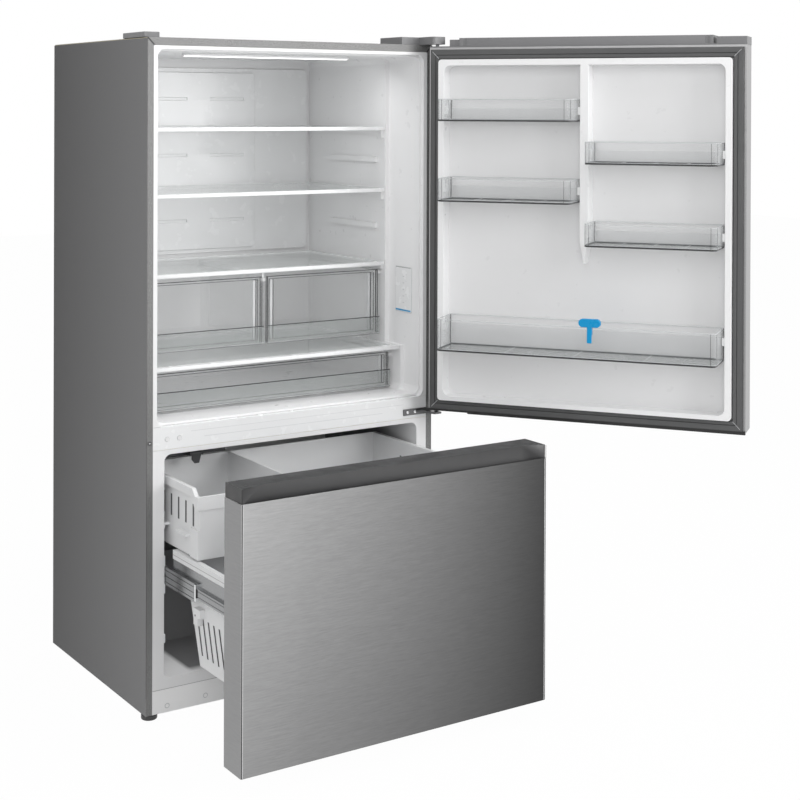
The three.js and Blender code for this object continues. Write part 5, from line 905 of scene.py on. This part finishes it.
def dress_bin(node):
    """Clear walls, a dark base edge, pale bands of painted highlight and thin lines where the walls turn.
    """
    low, high = closed_box(node)
    dressed(node, CLEAR, 0.8)
    xs, ys = (low.x + 5, high.x - 5), (low.y, high.y)
    (x0, x1), (y0, y1), (z0, z1) = xs, ys, (low.z, high.z)

    def band(name, zs, material, thickness):
        outer, inner = tray_outline(xs, ys, 0.03), tray_outline(xs, ys, thickness)
        ring("%s_%s" % (node, name), outer, inner, "z", zs, material, node, width=0.2)

    def line(name, across, along, upwards, material, width=0.1):
        block("%s_%s" % (node, name), across, along, upwards, material, node, width=width)

    band("base_edge", (z0, z0 + 4.2), BIN_EDGE, 2.6)
    # Paler bands above the dark base edge and along the top: painted highlights.
    band("base_painted_highlight", (z0 + 4.2, z0 + 5.6), CLEAR_EDGE, 1.0)
    band("top_painted_highlight", (z1 - 1.6, z1), CLEAR_EDGE, 2.4)
    for index, x in enumerate((x0 + 13, x1 - 14)):
        line("corner_line_%d" % index, (x, x + 0.9), (y1 - 0.6, y1 + 0.15), (z0 + 3, z1 - 1), SMOKE)
    for index, x in enumerate((x0 - 0.15, x1 - 0.75)):
        line("side_line_%d" % index, (x, x + 0.9), (y1 - 16, y1 - 15), (z0 + 3, z1 - 1), SMOKE)
        line("back_line_%d" % index, (x, x + 0.9), (y0 + 1, y0 + 7), (z0 + 3, z1 - 2), BIN_EDGE)
    floor = tray_outline(xs, ys, 3.2)
    prism(node + "_floor_tint", floor, "z", (z0 + 2.6, z0 + 3.0), TINT, node, width=0.1)
    for index in range(3):
        x = x0 + (x1 - x0) * (index + 1) / 4
        line("floor_rib_%d" % index, (x - 0.8, x + 0.8), (y0 + 8, y1 - 10), (z0 + 3, z0 + 4),
             CLEAR_EDGE, 0.2)


def recess_face(middle, normal):
    """A face of the door liner's floor, inside its raised border; these faces get painted shade."""
    return middle.y < RECESS_FLOOR and normal.y > 0.9 and abs(middle.x) < RECESS_HALF


def door_mitre_lines():
    """The pale joints that run across the door gasket's four corners."""
    corners = ((-1, DOOR_FOOT, 1), (1, DOOR_FOOT, 1), (1, DOOR_TOP, -1), (-1, DOOR_TOP, -1))
    for index, (side, edge, up) in enumerate(corners):
        points = [
            (side * (FRONT_HALF - along), edge + up * (along + offset))
            for along, offset in (
                (MITRE_NEAR, -MITRE_HALF), (MITRE_FAR, -MITRE_HALF), (MITRE_FAR, MITRE_HALF),
                (MITRE_NEAR, MITRE_HALF),
            )
        ]
        prism("door_gasket_mitre_%d" % index, points, "y", (-6, -0.8), MARK_GREY, "door", 0.1)


def make_door():
    dressed("door_skin", DOOR_STEEL, 0.4)
    paint("door_insulation", FOAM)
    # The door liner's recess floor gets a greyer white as painted shade.
    dressed("door_liner", DOOR_WHITE, 1.5, 3, second=RECESS_PAINTED_SHADE, inside=recess_face)
    dressed("door_top_cap", CAP_GREY, 1.5, 3)
    for node in BINS:
        dress_bin(node)
    dressed("bottle_clip", BLUE, 1.2, 3)
    gasket = seal("door_gasket_seal", DOOR_FOOT, DOOR_TOP, DOOR_SEAL, DOOR_SEAL_SHADED_STRIPS, "door")
    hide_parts("door_gasket")
    door_mitre_lines()
    block("door_bottom_strip", (-419.6, 419.6), (-14.4, -9.0), (690.1, 696.0), BLACK, "door", width=0.3)
    block("door_bottom_lip", (-419.6, 310), (-20.0, -12.0), (686.4, 690.4), BLACK, "door", width=0.3)


# ---------------------------------------------------------------- freezer drawer
# The slots cut through a basket's side walls: how many, the first one's front edge, its width, the pitch,
# its foot and top, how far its top leans back, and X of the wall's inner face.
LOWER_SLOTS = (6, 91.5, 7, 28.5, 203, 290, 27, 348)
UPPER_SLOTS = (5, 47, 8, 41, 499, 552, 0, 349)
DRAWER_SEAL = (
    (17, -9.7), (17, -5), (20, -2.2), (25, -1.0), (30, -1.5), (36, -3), (40, -6), (40, -9.7),
)
DRAWER_SEAL_SPAN = (61, 685)
# The strips of the drawer gasket that get painted shade.
DRAWER_SEAL_SHADED_STRIPS = (0, 1, 6, 7)
HANDLE_PLUG = (396, -64)
ON_FACE = (DRAWER_FACE - 0.2, DRAWER_FACE + 0.4)  # Y of a line on the drawer front


def paint_slot_shade(body, name, slots):
    """A dark sheet in each slot of a basket, flush with the wall's inner face: painted shade for the
    inside seen through it.
    """
    count, first, width, pitch, low, high, lean, wall = slots
    for side, sign in (("left", -1), ("right", 1)):
        span = mirrored(sign, wall + 0.2, wall + 1.4)
        for index in range(count):
            y = first + index * pitch
            points = [(y, low), (y + width, low), (y + width + lean, high), (y + lean, high)]
            prism("%s_%s_slot_%d" % (name, side, index), points, "x", span, SLOT_PAINTED_SHADE, body, width=0)


def slot_face(xs, zs):
    """A test for the faces inside the slots cut through a basket's sides, between two X and two Z; these
    faces get painted shade.
    """
    def inside(middle, normal):
        return xs[0] < abs(middle.x) < xs[1] and zs[0] < middle.z < zs[1] and abs(normal.x) < 0.3
    return inside


# The drawer skin's faces that look sideways, which get the darker steel as painted shade.
def side_face(middle, normal):
    return abs(normal.x) > 0.9


def make_drawer():
    dressed("drawer_skin", STEEL, 0.4, second=SIDE_STEEL_PAINTED_SHADE, inside=side_face)
    dressed("drawer_inner_panel", WHITE, 1.2, 3)
    dressed("drawer_handle", DARK, 1.2, 3)
    # The faces inside the baskets' slots, and a dark sheet in each slot, are painted shade.
    dressed("lower_basket", BASKET, 0.5, second=SLOT_PAINTED_SHADE, inside=slot_face((347.5, 351.5), (195, 300)))
    dressed("upper_basket", BASKET, 1.0, second=SLOT_PAINTED_SHADE, inside=slot_face((348.5, 352.5), (497, 556)))
    paint_slot_shade("freezer_drawer", "lower_basket", LOWER_SLOTS)
    paint_slot_shade("upper_basket", "upper_basket", UPPER_SLOTS)
    gasket = seal("drawer_gasket_seal", *DRAWER_SEAL_SPAN, DRAWER_SEAL, DRAWER_SEAL_SHADED_STRIPS,
                  "freezer_drawer")
    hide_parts("drawer_gasket")
    for side, sign in (("left", -1), ("right", 1)):
        drawer_side_lines(side, sign)
    drawer_block("handle_front_line", (-419.8, 419.8), ON_FACE, (641.2, 642.4), BLACK)


def drawer_block(name, xs, ys, zs, material, width=0.1):
    block(name, xs, ys, zs, material, "freezer_drawer", width=width)


def drawer_side_lines(side, sign):
    """A basket's rim and hook, painted shade and highlight down the steel's folded edge, and the handle's
    plug and corner.
    """
    cap_top = closed_box("drawer_handle")[1].z
    drawer_block(side + "_rim_line", mirrored(sign, 361.6, 362.3), (14, 378), (409.6, 411.0), BASKET_SHADE)
    # A black patch for the basket's hook hole: painted shade of its inside.
    drawer_block(side + "_hook_hole", mirrored(sign, 364.6, 365.4), (247, 251), (296, 300), BLACK, 0.3)
    # Down the steel's folded edge: a dark strip of painted shade and a pale strip of painted highlight.
    drawer_block(side + "_skin_fold", mirrored(sign, 417.0, 419.3), ON_FACE, SKIN_SPAN, DARK)
    drawer_block(side + "_skin_fold_light", mirrored(sign, 415.4, 417.0), ON_FACE, SKIN_SPAN, FOLD_PAINTED_HIGHLIGHT)
    plug = (sign * HANDLE_PLUG[0], HANDLE_PLUG[1])
    disc(side + "_handle_plug", "z", 6.0, (cap_top - 1, cap_top + 0.2), plug, BLACK, "freezer_drawer",
         width=0.1)
    disc(side + "_handle_plug_cap", "z", 4.2, (cap_top - 1, cap_top + 0.5), plug, DARK, "freezer_drawer",
         width=0.2)
    drawer_block(side + "_cap_corner_line", mirrored(sign, 419.2, 419.97),
                 (DRAWER_FACE - 0.1, DRAWER_FACE + 0.8), (642, cap_top - 1.5), BLACK)


make_camera()
make_backdrop()
make_floor()
make_lights()
make_cabinet()
make_shelves()
for tub in TUBS:
    dress_tub(tub)
make_fittings()
make_door()
make_drawer()
